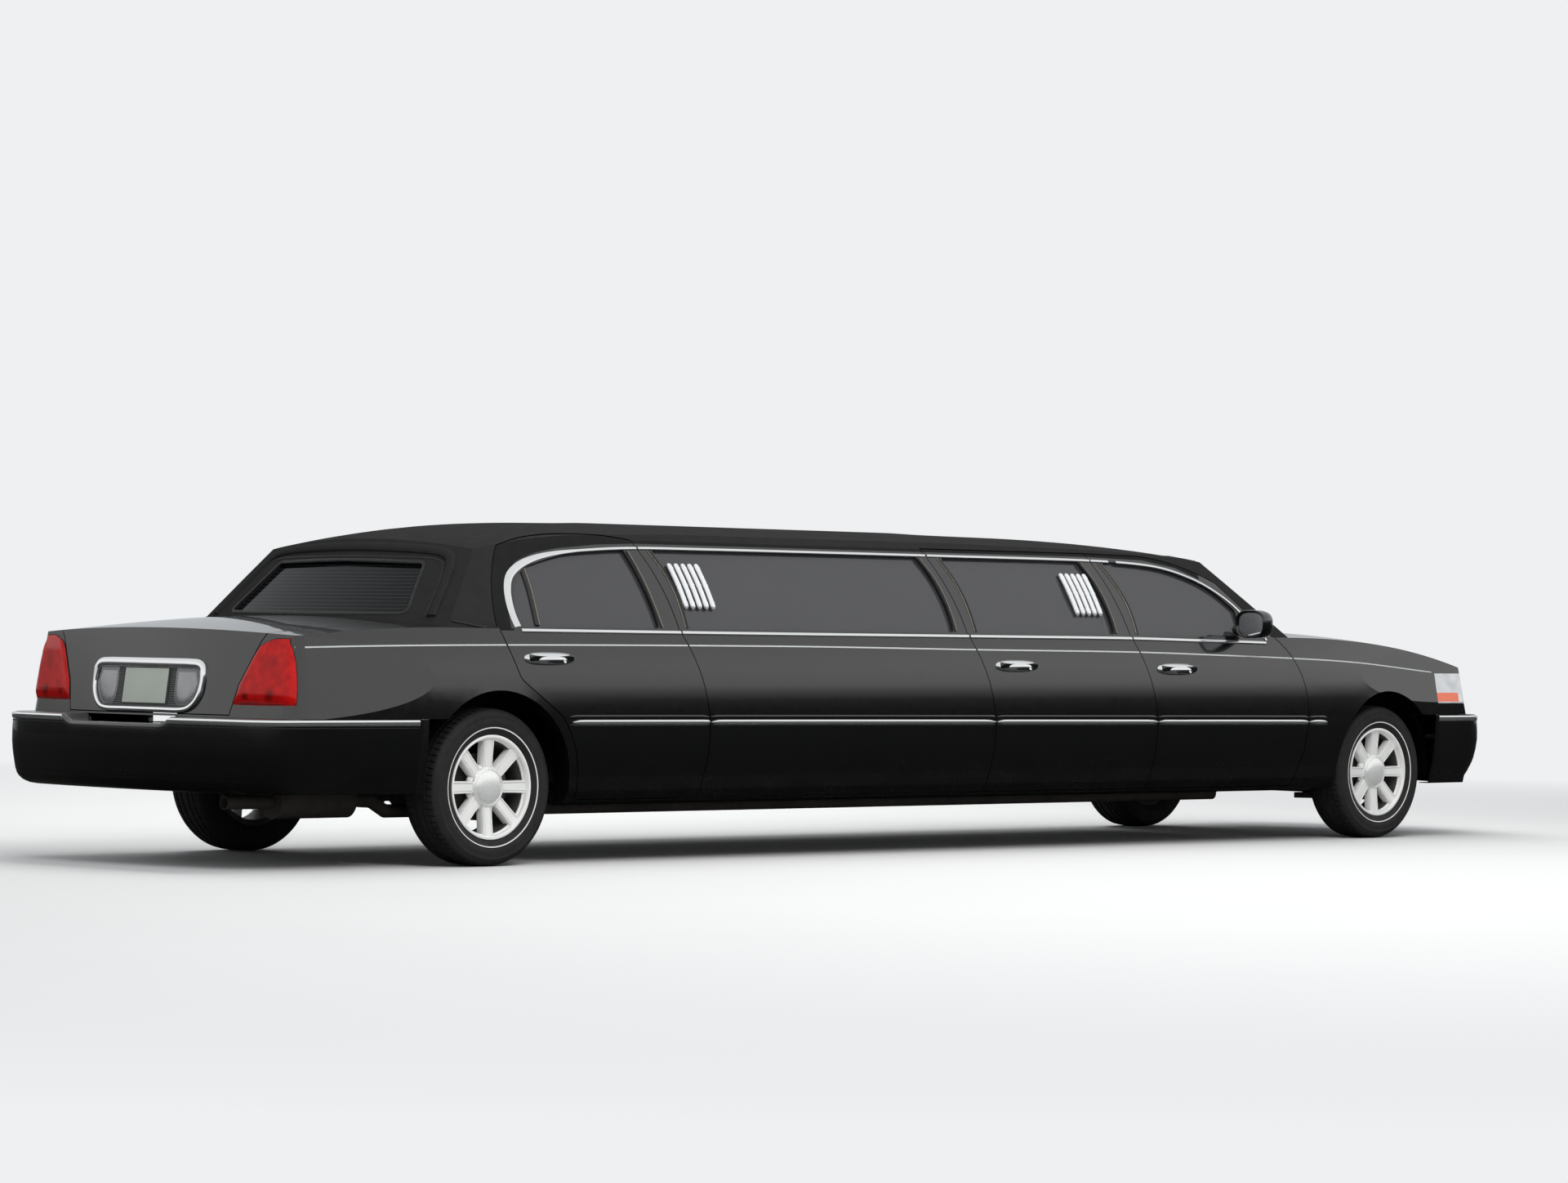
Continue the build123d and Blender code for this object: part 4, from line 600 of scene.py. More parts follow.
BELT = ((-2828, 1046), (-2400, 1045), (-1850, 1044), (-900, 1043), (100, 1043), (1285, 1042), (1744, 1036),
        (2080, 1032), (2322, 1028))
UPPER = ((-2826, 1060), (-2832, 1100), (-2830, 1160), (-2812, 1230), (-2775, 1288), (-2702, 1335),
         (-2600, 1370), (-2443, 1398), (-2179, 1420), (-1945, 1430), (-1500, 1433), (0, 1434),
         (1184, 1432), (1500, 1424), (1700, 1408), (1845, 1380), (2000, 1330), (2120, 1266), (2187, 1216), (2262, 1135),
         (2330, 1040))
PINSTRIPE = ((-4139, 961), (-3604, 973), (-2846, 982), (-1104, 987), (129, 980), (1320, 975), (1967, 963),
             (2501, 951), (3030, 932), (3720, 882))
side_strip("belt_chrome", BELT, 17, 6.0, chrome, "chrome")
side_strip("window_chrome", UPPER, 15, 5.5, chrome, "chrome", step=16,
           widths=lambda x: min(38.0, 15.0 + max(0.0, -2300 - x) * 0.046))
side_strip("pinstripe", PINSTRIPE, 6.5, 0.6, stripe_paint, "chrome", profile=FLAT, step=40)
MOULDINGS = (
    # name, rear end, front end, rise over the bright line, width, height, finish, slot
    ("moulding_chrome", -2573, 2755, 0, 22, 8.0, chrome, "chrome"),
    ("moulding_ledge", -2590, 2755, 23, 20, 3.5, paint, "paint"),
    ("moulding_base", -2590, 2765, -12, 12, 5.0, black_plastic, "trim"),
)
for name, x_rear, x_front, rise, width, height, finish, slot in MOULDINGS:
    line = ((x_rear, 638), (-1000, 634), (700, 628), (2300, 622), (x_front, 620))
    side_strip(name, [(x, z + rise) for x, z in line], width, height, finish, slot, step=40, taper=8)


# Window frames, bars and handles

# x of each fixed window's edge at its foot, the way out of the window, and the side of the car
WINDOW_EDGES = ((-1781, -1, "right"), (-6, 1, "right"), (161, -1, "right"), (1168, 1, "right"),
                (-1781, -1, "left"), (1190, 1, "left"))
# name, shift outwards, width, finish, slot
EDGE_STRIPS = (("seal", 11, 15, rubber_seal, "trim"), ("edge", 21, 5, frame_edge, "chrome"))
PILLAR = ((-66, 1424), (-14, 1330), (10, 1240), (12, 1150), (2, 1064))
for x, outward, where in WINDOW_EDGES:
    chosen = [s for s in SIDES if s[0] == where]
    tag = str(x).replace("-", "m")
    for part, shift, width, finish, slot in EDGE_STRIPS:
        line = [(x + dx + outward * shift, z) for dx, z in PILLAR]
        side_strip(f"window_{part}_{tag}", line, width, 3.0, finish, slot, chosen)
REAR_DOOR_FRONT = ((-2010, 1418), (-1984, 1330), (-1968, 1240), (-1962, 1150), (-1960, 1064))
FRONT_DOOR_REAR = ((1270, 1422), (1326, 1330), (1362, 1240), (1366, 1150), (1352, 1064))
for name, line, outward in (("rear_door", REAR_DOOR_FRONT, 1), ("front_door", FRONT_DOOR_REAR, -1)):
    side_strip(f"{name}_seal", [(x + outward * 8, z) for x, z in line], 14, 3.0, rubber_seal, "trim")
    side_strip(f"{name}_edge", [(x + outward * 18, z) for x, z in line], 6, 3.5, frame_edge, "chrome")
DIVIDER = ((-2672, 1340), (-2672, 1240), (-2684, 1150), (-2698, 1066))
DIVIDER_EDGE = ((-2662, 1344), (-2662, 1240), (-2674, 1150), (-2688, 1066))
side_strip("divider", DIVIDER, 24, 9.0, black_plastic, "trim", on=glass_skin)
side_strip("divider_edge", DIVIDER_EDGE, 7, 11.0, frame_edge, "chrome", on=glass_skin)

BAR_FOOT, BAR_LENGTH, BAR_LEAN, BAR_PITCH = 1148, 212, 16, 43
BAR_HALF_WIDTH, BAR_HALF_DEPTH = 0.0140, 0.0115
BAR_STEPS, BAR_SIDES = 40, 14
COLLARS = (0.12, 0.5, 0.88)


def window_bars(name, x_middle, side_name, side):
    """Five upright bright bars side by side on a window, each with rounded ends and three collars."""
    shape = Shape()
    for k in range(-2, 3):
        path = []
        for i in range(BAR_STEPS + 1):
            t = i / BAR_STEPS
            x = x_middle + k * BAR_PITCH - BAR_LEAN * (t - 0.5)
            q, normal, node = glass_skin.from_side(x, BAR_FOOT + BAR_LENGTH * t, side)
            path.append((q + normal * (0.012 + 0.006 * math.sin(math.pi * t)), normal, t))
        rows = []
        for i, (q, normal, t) in enumerate(path):
            along = (path[min(i + 1, BAR_STEPS)][0] - path[max(i - 1, 0)][0]).normalized()
            across_bar = normal.cross(along).normalized()
            end = min(1.0, min(t, 1 - t) * BAR_LENGTH / 15)
            r = max(math.sqrt(max(0.0, 1 - (1 - end) ** 2)), 0.12)
            if min(abs(t - c) for c in COLLARS) < 0.018:
                r *= 1.14
            sideways, outwards = across_bar * (BAR_HALF_WIDTH * r), normal * (BAR_HALF_DEPTH * r)
            rows.append([q + sideways * math.cos(a) + outwards * math.sin(a)
                         for a in (2 * math.pi * j / BAR_SIDES for j in range(BAR_SIDES))])
        shape.grid(rows, closed_v=True, caps=True)
    shape.make(f"{name}_{side_name}", bar_chrome, node_body[node], "chrome")


for side_name, side in SIDES:
    window_bars("bars_rear", -1664, side_name, side)
    window_bars("bars_front", 1034, side_name, side)


# z and half width of three points of the arc that the doors' skin follows
WALL_ARC = ((392.0, 968.0), (640.0, 993.0), (1050.0, 927.0))


def side_wall_y(z):
    """Half width of the side at height z in mm."""
    (za, ya), (zb, yb), (zc, yc) = WALL_ARC
    d = 2 * (ya * (zb - zc) + yb * (zc - za) + yc * (za - zb))
    qa, qb, qc = ya * ya + za * za, yb * yb + zb * zb, yc * yc + zc * zc
    cy = (qa * (zb - zc) + qb * (zc - za) + qc * (za - zb)) / d
    cz = (qa * (yc - yb) + qb * (ya - yc) + qc * (yb - ya)) / d
    return cy + math.sqrt((ya - cy) ** 2 + (za - cz) ** 2 - (z - cz) ** 2)


HANDLE_HALF = (150.0, 29.5)
HANDLE_REACH = 31.5
HANDLE_POWER = 2.6
HANDLE_RINGS, HANDLE_POINTS = 10, 48
# start, length, level and half height of the dark band of painted shade along the gap under the grip
GAP_SHADE = (-36, 154, -13, 7.5)
LOCK_PLACE = (66, -13)
LOCK_RINGS = ((8.5, -6.0), (8.5, 4.0), (7.5, 5.0), (6.0, 3.6), (0.6, 3.4))


def handle(name, x, z, side_name, side):
    """Bright domed oval handle over the boss on the door, with a dark band of painted shade where the gap under the
    grip is, and a key cylinder.
    """
    a, b = HANDLE_HALF
    body = node_body[solid_skin.from_side(x, z, side)[2]]

    def at(u, v, lift):
        return Vector(((x + u) * MM, (side_wall_y(z + v) + lift) * side * MM, (z + v) * MM))

    def dome(u, v):
        share = (abs(u / a) ** HANDLE_POWER + abs(v / b) ** HANDLE_POWER) ** (2 / HANDLE_POWER)
        return HANDLE_REACH * math.sqrt(max(0.0, 1 - share)) - 1.0

    shape = Shape()
    scales = [math.cos(k / HANDLE_RINGS * math.pi / 2) for k in range(HANDLE_RINGS)]
    shape.grid([[at(u, v, dome(u, v)) for u, v in round_line(a * s, b * s, HANDLE_POWER, HANDLE_POINTS)]
                for s in scales], closed_v=True)
    shape.close(HANDLE_POINTS)
    shape.make(f"handle_{name}_{side_name}", chrome, body, "chrome")
    # painted shade: a dark band laid just over the chrome dome, where the gap under the grip lies in shade
    gap_shade = Shape()
    start, length, level, half = GAP_SHADE
    rows = []
    for k in range(19):
        u = start + length * k / 18
        swell = math.sqrt(max(0.0, 1 - ((u - 41) / 78) ** 2))
        row = []
        for j in range(7):
            v = level + (j / 3 - 1) * half * swell
            row.append(at(u, v, dome(u, v) + (0.3 if j in (0, 6) or k in (0, 18) else 1.3)))
        rows.append(row)
    gap_shade.grid(rows)
    gap_shade.make(f"handle_gap_shade_{name}_{side_name}", black_plastic, body, "trim")
    lock = Shape()
    cu, cv = LOCK_PLACE
    top = dome(cu, cv)
    lock.grid([[at(cu + r * math.cos(q * math.pi / 10), cv + r * math.sin(q * math.pi / 10), top + lift)
                for q in range(20)] for r, lift in LOCK_RINGS], closed_v=True)
    lock.make(f"handle_lock_{name}_{side_name}", chrome, body, "chrome")


for side_name, side in SIDES:
    handle("rear", -2686, 923, side_name, side)
    handle("front", 1585, 892, side_name, side)
handle("mid", 388, 903, "right", -1)


# Wheels, tyres and brakes: each shape lies flat about its axle, in mm, with its face up

FRONT_X, REAR_X = 3300.5, -2991.5
WHEEL_RADIUS = 351
TREAD_HALF = 112.5
TREAD_PITCHES = 72
GROOVE_RADIUS = 343.0
# radius, height and kind of the tyre's outline: 0 middle rib, 1 cut rib, 2 groove, 3 wall
TREAD = [(351, 0, 0), (351, 17, 0), (343, 18.5, 2), (343, 26.5, 2), (351, 28, 0), (350.6, 52, 1),
         (343, 53.5, 2), (343, 61.5, 2), (350.2, 63, 1), (347.5, 84, 1), (343.5, 93, 1)]
WALL = [(338, 99, 3), (331, 104, 3), (322, 108, 3), (318, 110, 3), (316, 109.2, 3), (300, 111.6, 3),
        (290, 112.2, 3), (278, 111.4, 3), (271, 109.5, 3), (269, 110.4, 3), (255, 106.5, 3), (253, 105.2, 3),
        (244, 101.5, 3), (236, 96.5, 3), (232.3, 93.5, 3), (232.3, 60, 3)]


def lathe(profile, steps, shape=None):
    """Skin of a profile of (radius, height) turned about the wheel's axis."""
    shape = shape or Shape()
    shape.grid([[Vector((r * math.cos(a), r * math.sin(a), h)) for r, h in profile]
                for a in (2 * math.pi * k / steps for k in range(steps))], closed_u=True)
    return shape


def tyre_shape():
    """Tread in five ribs cut by cross grooves, and a rounded side wall with two raised rings."""
    one = TREAD + WALL
    outline = [(r, -h, kind) for r, h, kind in reversed(one[1:])] + one
    rows = []
    for k in range(TREAD_PITCHES * 4):
        phase = k % 4
        angle = 2 * math.pi * (k // 4 + (0.0, 0.80, 0.83, 0.97)[phase]) / TREAD_PITCHES
        row = []
        for r, h, kind in outline:
            if kind == 1:
                depth = 0.0 if phase < 2 else 6.5 if abs(h) > 50 else 3.0
                r = max(r - depth, GROOVE_RADIUS)
            a = angle + 0.35 * abs(h) / TREAD_HALF * 2 * math.pi / TREAD_PITCHES
            row.append(Vector((r * math.cos(a), r * math.sin(a), h)))
        rows.append(row)
    shape = Shape()
    shape.grid(rows, closed_u=True)
    return shape


RIM_LIP = ((232, 90), (232, 99), (228, 100.5), (222, 99.5), (218, 95), (216.5, 88), (215, 76), (210, 72),
           (209, 66))
HUB = ((30.2, -40), (30.2, 40), (60, 62), (90, 66), (98, 58), (98, 30), (88, -40), (30.2, -40))
# radius, half width and height of the sections along a spoke
SPOKE_SECTIONS = ((62, 27, 66), (86, 26, 72), (100, 26.5, 74), (160, 27.5, 78), (200, 28.5, 82),
                  (219, 29, 84))


def wheel_shape():
    """Rim with a stepped lip, eight flat ribbed spokes, a boss between each two and the hub."""
    shape = lathe(RIM_LIP, 96)
    edge = 7.0
    for i in range(8):
        turn = Matrix.Rotation(math.radians(45 * i), 4, "Z")
        rows = []
        for r, w, top in SPOKE_SECTIONS:
            half = ((w, -46), (w, -5), (w - 3, 0), (w - edge, 0), (w - edge - 1.5, -6), (w - edge - 4, -6),
                    (w - edge - 5.5, -1.5))
            rows.append([turn @ Vector((r, u, top + z))
                         for u, z in [(-u, z) for u, z in half] + list(reversed(half))])
        shape.grid(rows, closed_v=True, caps=True)
        turn = Matrix.Rotation(math.radians(45 * i + 22.5), 4, "Z")
        rows = []
        for t in (k / 4 * math.pi / 2 for k in range(5)):
            r = 21 * math.cos(t) + 0.5
            rows.append([turn @ Vector((84 + r * math.cos(a), r * math.sin(a), 46 + 14 * math.sin(t)))
                         for a in (j * math.pi / 8 for j in range(16))])
        shape.grid(rows, closed_v=True)
    return lathe(HUB, 64, shape)


def calliper_shape():
    """Brake calliper over the disc's front edge, and the dust shield behind the disc."""
    shape = Shape()
    shape.grid([[Vector((r * math.cos(a), r * math.sin(a), h))
                 for r, h in ((112, 16), (158, 16), (164, 10), (164, -15), (158, -20), (112, -20), (112, -16),
                              (154, -16), (154, 12), (112, 12))]
                for a in (math.radians(-32 + 64 * k / 8) for k in range(9))], closed_v=True, caps=True)
    return lathe([(96, -21), (132, -21), (136, -18), (139, -20), (136, -25), (96, -25), (96, -21)], 64, shape)


CAP = [(89, 62), (89, 74), (86, 78), (81, 79.5), (78, 78), (75, 80)]
CAP += [(75 * math.cos(t), 80 + 17 * math.sin(t)) for t in (k / 12 * math.pi / 2 for k in range(1, 12))]
CAP += [(0.4, 97.2)]
STRIPE = [(267.0, 108.6), (266.6, 110.6), (262.0, 109.6), (261.4, 107.5)]
BARREL = [(213, 74), (208, 55), (205, 20), (205, -90), (214, -99), (232, -99), (232, 92)]
DISC = [(99, 32), (99, 12), (104, 8), (150, 8), (150, -14), (94, -14), (94, 8)]
wheel_parts = (
    # name, shape, finish, slot, replaced node
    ("tyre_tread", tyre_shape(), tyre_rubber, "tyre", "tyre"),
    ("tyre_stripe", lathe(STRIPE, 128), white_rubber, "tyre", None),
    ("wheel_alloy", wheel_shape(), alloy, "alloy", "wheel"),
    ("wheel_cap", lathe(CAP, 72), cap_metal, "alloy", None),
    ("wheel_barrel", lathe(BARREL, 96), barrel_metal, "iron", None),
    ("brake_disc", lathe(DISC, 64), iron, "iron", None),
    ("brake_calliper", calliper_shape(), barrel_metal, "iron", None),
)
for end, x, half_track, knuckle in (("front", FRONT_X, 805, True), ("rear", REAR_X, 832, False)):
    for side_name, side in reversed(SIDES):
        corner = f"{end}_{side_name}"
        to_corner = Matrix.Translation((x * MM, side * half_track * MM, WHEEL_RADIUS * MM)) @ \
            Matrix.Rotation(math.radians(-90 * side), 4, "X") @ Matrix.Scale(MM, 4)
        for name, shape, finish, slot, replaced in wheel_parts:
            body = f"{corner}_wheel"
            if name == "brake_calliper":
                body = f"knuckle_{side_name}" if knuckle else "body"
            verts = [to_corner @ v for v in shape.verts]
            ob = piece(f"{name}_{corner}", verts, shape.faces, finish, body)
            if replaced:
                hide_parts(f"{replaced}_{corner}")


# Bumpers

def stations(x_end, x_corner, y_corner, x_face, forward):
    """Rays towards the bumper, from its end at the right wheel round the nose or tail to the left wheel."""
    rays = [((x_end + (x_corner - x_end) * k / 13, -1.3), (0.0, 1.0)) for k in range(13)]
    for a in (math.radians(90 * k / 14) for k in range(15)):
        d = (-forward * math.sin(a), math.cos(a))
        rays.append(((x_corner - d[0] * 0.9, -y_corner - d[1] * 0.9), d))
    for k in range(1, 17):
        rays.append(((x_face + forward * 0.3, -y_corner + y_corner * k / 16), (-float(forward), 0.0)))
    return rays + [((q[0], -q[1]), (d[0], -d[1])) for q, d in reversed(rays[:-1])]


def table(rows, value):
    """Straight-line reading of a table of (key, value)."""
    for (a, va), (b, vb) in zip(rows, rows[1:]):
        if min(a, b) <= value <= max(a, b):
            return va + (vb - va) * (value - a) / (b - a)
    return rows[0][1] if abs(value - rows[0][0]) < abs(value - rows[-1][0]) else rows[-1][1]


def eased(k):
    k = min(1.0, max(0.0, k))
    return k * k * (3 - 2 * k)


class Bumper:
    """Outer skin of one bumper: its plan is read from the CAD bumper, its upright section from a table."""

    Z_READ = 0.56
    SIDE_FOOT = WALL_ARC[0][0]

    def __init__(self, node, rays, section, dip):
        tree = Skin([node])
        hits = [tree.hit((x, y, self.Z_READ), (dx, dy, 0)) for (x, y), (dx, dy) in rays]
        self.plan = [Vector((found[0].x, found[0].y, 0)) for found in hits if found]
        n = len(self.plan)
        self.normals = []
        for i, q in enumerate(self.plan):
            along = self.plan[min(i + 1, n - 1)] - self.plan[max(i - 1, 0)]
            out = Vector((along.y, -along.x, 0)).normalized()
            if out.dot(q - Vector((self.plan[n // 2].x * 0.9, 0, 0))) < 0:
                out = -out
            self.normals.append(out)
        self.share = [eased((abs(out.x) - 0.04) / 0.45) for out in self.normals]
        self.section = section
        self.dip = dip

    def at(self, i, z, lift=0.0):
        """Point at station i and height z (mm), lift mm proud of the skin."""
        flank = side_wall_y(max(z, self.SIDE_FOOT)) - side_wall_y(self.Z_READ / MM)
        flank -= max(0.0, self.SIDE_FOOT - z) * 0.22
        off = self.share[i] * table(self.section, z) + (1 - self.share[i]) * flank
        if z > 600:
            # the upper edge dips behind the plate, from half_width with a slope over ramp
            half_width, ramp, depth = self.dip
            k = eased((half_width + ramp - abs(self.plan[i].y) / MM) / ramp)
            z = 600 + (z - 600) * (1 - depth / 55 * k * (abs(self.normals[i].x) > 0.8))
        point = self.plan[i] + self.normals[i] * ((off + lift) * MM)
        return Vector((point.x, point.y, z * MM))

    def skin(self, name, levels, node):
        top, foot = levels[0], levels[-1]
        shape = Shape()
        shape.grid([[self.at(i, top, -110.0), self.at(i, top, -12.0)] + [self.at(i, z) for z in levels]
                    + [self.at(i, foot, -60.0)] for i in range(len(self.plan))])
        ob = shape.make(name, paint, "body", "bumper")
        thicken(ob, 0.004)
        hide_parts(node)

    def strip(self, name, z, where, half, height, finish, slot, profile=STRIP):
        """Strip at height z along the stations whose place in mm passes the test."""
        chosen = [i for i, q in enumerate(self.plan) if where(q / MM)]
        points = [self.at(i, z) for i in range(chosen[0], chosen[-1] + 1)]
        normals = self.normals[chosen[0]:chosen[-1] + 1]
        fine, fine_normals = smooth_line(points, 0.02), []
        for q in fine:
            a, b = sorted(range(len(points)), key=lambda j: (points[j] - q).length)[:2]
            da, db = (points[a] - q).length, (points[b] - q).length
            w = db / (da + db) if da + db > 0 else 1.0
            fine_normals.append((normals[a] * w + normals[b] * (1 - w)).normalized())
        shape = Shape()
        sweep(shape, fine, fine_normals, half * MM, height * MM, profile)
        shape.make(name, finish, "body", slot)


REAR_SECTION = ((655, -16), (652, -8), (648, -3), (640, 0), (600, 2.5), (560, 4), (520, 4), (480, 1), (440, -5),
                (410, -10), (396, -13), (389, -17), (384, -16), (366, -27), (348, -47), (336, -75), (330, -112))
FRONT_SECTION = ((655, -18), (652, -11), (648, -7), (640, -5), (600, -1), (560, 1), (520, 1), (470, -6),
                 (420, -18), (392, -28), (386, -33), (380, -33), (350, -55), (320, -87), (298, -125), (286, -170))
UPPER_LEVELS = (655, 652, 648, 642, 636, 620, 600, 580, 560, 540, 520, 495, 470, 445, 420)
REAR_LEVELS = UPPER_LEVELS + (405, 396, 391, 388, 385, 378, 366, 356, 348, 341, 336, 332, 330)
FRONT_LEVELS = UPPER_LEVELS + (400, 392, 388, 386, 383, 380, 366, 350, 335, 320, 308, 298, 291, 286)
rear_bumper = Bumper("rear_bumper", stations(-3.352, -4.04, 0.55, -4.39, -1), REAR_SECTION, (320, 60, 30))
rear_bumper.skin("bumper_rear", REAR_LEVELS, "rear_bumper")
front_bumper = Bumper("front_bumper", stations(3.73, 4.06, 0.50, 4.39, 1), FRONT_SECTION, (360, 60, 0))
front_bumper.skin("bumper_front", FRONT_LEVELS, "front_bumper")
for side_name, side in SIDES:
    rear_bumper.strip(f"rear_bumper_strip_{side_name}", 638, lambda q: q.y * side > 352 and q.x < -3450,
                      12.5, 6.0, chrome, "chrome")
front_bumper.strip("front_bumper_strip", 635, lambda q: q.x > 3752, 14.0, 4.5, chrome, "chrome")
ends = (rear_bumper.plan[0] / MM, rear_bumper.plan[-1] / MM)
rear_bumper.strip("rear_bumper_groove", 616, lambda q: q not in ends, 2.2, 1.2, rubber_seal, "trim", FLAT)


# Tail lamps and the boot lid's plate panel

tail_skin = Skin(["tail_lamps", "rear_body", "trunk_lid"])
LENS_FOOT, LENS_HEIGHT = 717, 281
INNER_EDGE = ((717, 587), (760, 598), (800, 609), (850, 636), (900, 663), (940, 685), (965, 704), (985, 742),
              (998, 790))
# places of the right lamp's outer edge in the camera's frame, in pixels
OUTER_PLACES = ((362.7, 862.7), (364.0, 845.7), (363.6, 827.8), (362.2, 810.0), (359.1, 796.0), (355.5, 788.0))
LAMP_CENTRE = Vector((-3.95, 0.70, 0))
outer_angles = []
for px, py in OUTER_PLACES:
    ray = view + right * ((px - FRAME_WIDTH / 2) / FOCAL) + up * ((FRAME_HEIGHT / 2 - py) / FOCAL)
    q = tail_skin.hit(camera.matrix_world.translation, ray.normalized())[0]
    outer_angles.append((q.z / MM, math.atan2(-q.y - LAMP_CENTRE.y, LAMP_CENTRE.x - q.x)))
outer_angles.sort()


def lens(side_name, side):
    """Bulging red lens wrapped round the corner of the tail, with its seal."""
    centre = Vector((LAMP_CENTRE.x, side * LAMP_CENTRE.y, 0))
    rows = []
    for z in (LENS_FOOT + LENS_HEIGHT * (1 - (1 - k / 30) ** 1.35) for k in range(31)):
        inner = tail_skin.hit((CLOSE_BEHIND, side * table(INNER_EDGE, z) * MM, z * MM), (1, 0, 0))
        if inner:
            a_in = math.atan2(side * (inner[0].y - centre.y), -(inner[0].x - centre.x))
        a_out = table(outer_angles, z)
        v = (z - LENS_FOOT) / LENS_HEIGHT
        row = []
        for u in (j / 26 for j in range(27)):
            a = a_in + (a_out - a_in) * u
            d = Vector((-math.cos(a), side * math.sin(a), 0))
            found = tail_skin.hit(centre + d * 1.2 + Vector((0, 0, z * MM)), -d)
            rim = min(1.0, min(u, 1 - u) * (a_out - a_in) * 9, v * 7, (1 - v) * 4 + 0.05)
            lift = 0.0025 + 0.011 * math.sin(rim * math.pi / 2)
            row.append(found[0] + d * lift if found else row[-1])
        first, final = row[0] + (centre - row[0]) * 0.012, row[-1] + (centre - row[-1]) * 0.012
        first.z = final.z = z * MM
        rows.append([first] + row + [final])
    shape = Shape()
    shape.grid([[q - Vector((0, 0, 0.002)) + (centre - q).normalized() * 0.006 for q in rows[0]]] + rows)
    shape.make(f"tail_lens_{side_name}", red_lens, "body", "red_lens")
    outline = [r[1] for r in rows] + rows[-1][2:-1] + [r[-2] for r in reversed(rows)] + rows[0][2:-1][::-1]
    outline = outline[::2]
    normals = [(q - Vector((centre.x, centre.y, q.z))).normalized() for q in outline]
    seal = Shape()
    sweep(seal, [q - n * 0.003 for q, n in zip(outline, normals)], normals, 0.0024, 0.0035)
    seal.make(f"tail_lens_seal_{side_name}", rubber_seal, "body", "trim")


for side_name, side in SIDES:
    lens(side_name, side)

lid_skin = Skin(["trunk_lid"])


def on_lid(y, z, lift=0.0):
    point, normal, _ = lid_skin.hit((CLOSE_BEHIND, y * MM, z * MM), (1, 0, 0))
    return point + normal * (lift * MM), normal


RING_HALF = ((0, 884), (180, 884), (300, 883), (350, 879), (372, 866), (379, 842), (382, 800), (374, 756),
             (350, 716), (318, 692), (280, 682), (120, 680), (0, 680))
ring_line = smooth_line([(y, z, 0) for y, z in both_halves(RING_HALF)], 14, closed=True)
hits = [on_lid(q.x, q.y) for q in ring_line]
# the ring is wider along its top
widths = [(12.0 + 9.0 * min(1.0, max(0.0, (q.y - 800) / 70))) * MM for q in ring_line]
ring = Shape()
sweep(ring, [q for q, _ in hits], [normal for _, normal in hits], widths, 15.0 * MM, closed=True)
ring_piece = ring.make("plate_ring", chrome, "boot_lid", "chrome")
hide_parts("plate_surround")


def lid_patch(name, outline_rows, lift, crown, finish, slot, columns=14, skirt=3.0):
    """Panel on the boot lid between two edges given at several heights: z, left y, right y."""
    rows = []
    count = len(outline_rows) * 4
    for k in range(count + 1):
        v = k / count
        t = v * (len(outline_rows) - 1)
        i = min(int(t), len(outline_rows) - 2)
        part = t - i
        z, a, b = (p * (1 - part) + q * part for p, q in zip(outline_rows[i], outline_rows[i + 1]))
        row = []
        for u in (j / columns for j in range(columns + 1)):
            bulge = crown * (1 - (2 * u - 1) ** 4) * (1 - (2 * v - 1) ** 4)
            row.append(on_lid(a + (b - a) * u, z, lift + bulge)[0])
        if skirt:
            row = [on_lid(a, z, -skirt)[0]] + row + [on_lid(b, z, -skirt)[0]]
        rows.append(row)
    top, foot = ([on_lid(q.y / MM, q.z / MM, -skirt)[0] for q in row] for row in (rows[0], rows[-1]))
    shape = Shape()
    shape.grid([top] + rows + [foot])
    return shape.make(name, finish, "boot_lid", slot)


PLATE_PANEL = ((872, -350, 350), (800, -368, 368), (752, -356, 356), (715, -330, 330), (690, -282, 282))
REVERSE_LAMP = ((866, 206, 344), (800, 204, 362), (756, 206, 350), (722, 214, 326), (700, 232, 296))
lid_patch("plate_panel", PLATE_PANEL, 2.0, 0.0, ribbed_panel(), "trim", 20)
for side_name, side in SIDES:
    rows = [(z, a, b) if side > 0 else (z, -b, -a) for z, a, b in REVERSE_LAMP]
    lid_patch(f"reverse_lamp_{side_name}", rows, 4.0, 7.0, clear_glass, "clear_lens")
    inner = [(z - 2 * (z - 783) * 0.12, a + 14, b - 14) for z, a, b in rows]
    lid_patch(f"reverse_reflector_{side_name}", inner, 3.0, 1.5, headlamp_clear(f"reflector_{side_name}"),
              "clear_lens", skirt=0.0)
lid_patch("plate_frame", ((864, -166, 166), (704, -166, 166)), 4.0, 0.0, black_plastic, "trim", 4)
lid_patch("plate_blank", ((860, -152.5, 152.5), (708, -152.5, 152.5)), 7.0, 0.0, plate_blank, "alloy", 4)


# Back window, windscreen and wipers

roof_skin = Skin(["roof"])
end_skin = Skin(["roof", "rear_window", "windscreen"])


def cast_strip(name, line, x_from, half, height, finish, slot, tree, closed=False, profile=STRIP, lift=0.0,
               step=14):
    """Strip along a line of (y, z) in mm, cast onto the tree from behind or from in front."""
    points, normals = [], []
    for q in smooth_line([(y, z, 0) for y, z in line], step, closed):
        found = tree.hit((x_from, q.x * MM, q.y * MM), (-1 if x_from > 0 else 1, 0, 0))
        if found:
            points.append(found[0] + found[1] * (lift * MM))
            normals.append(found[1])
    shape = Shape()
    sweep(shape, points, normals, half * MM, height * MM, profile, closed=closed)
    shape.make(name, finish, "body", slot)


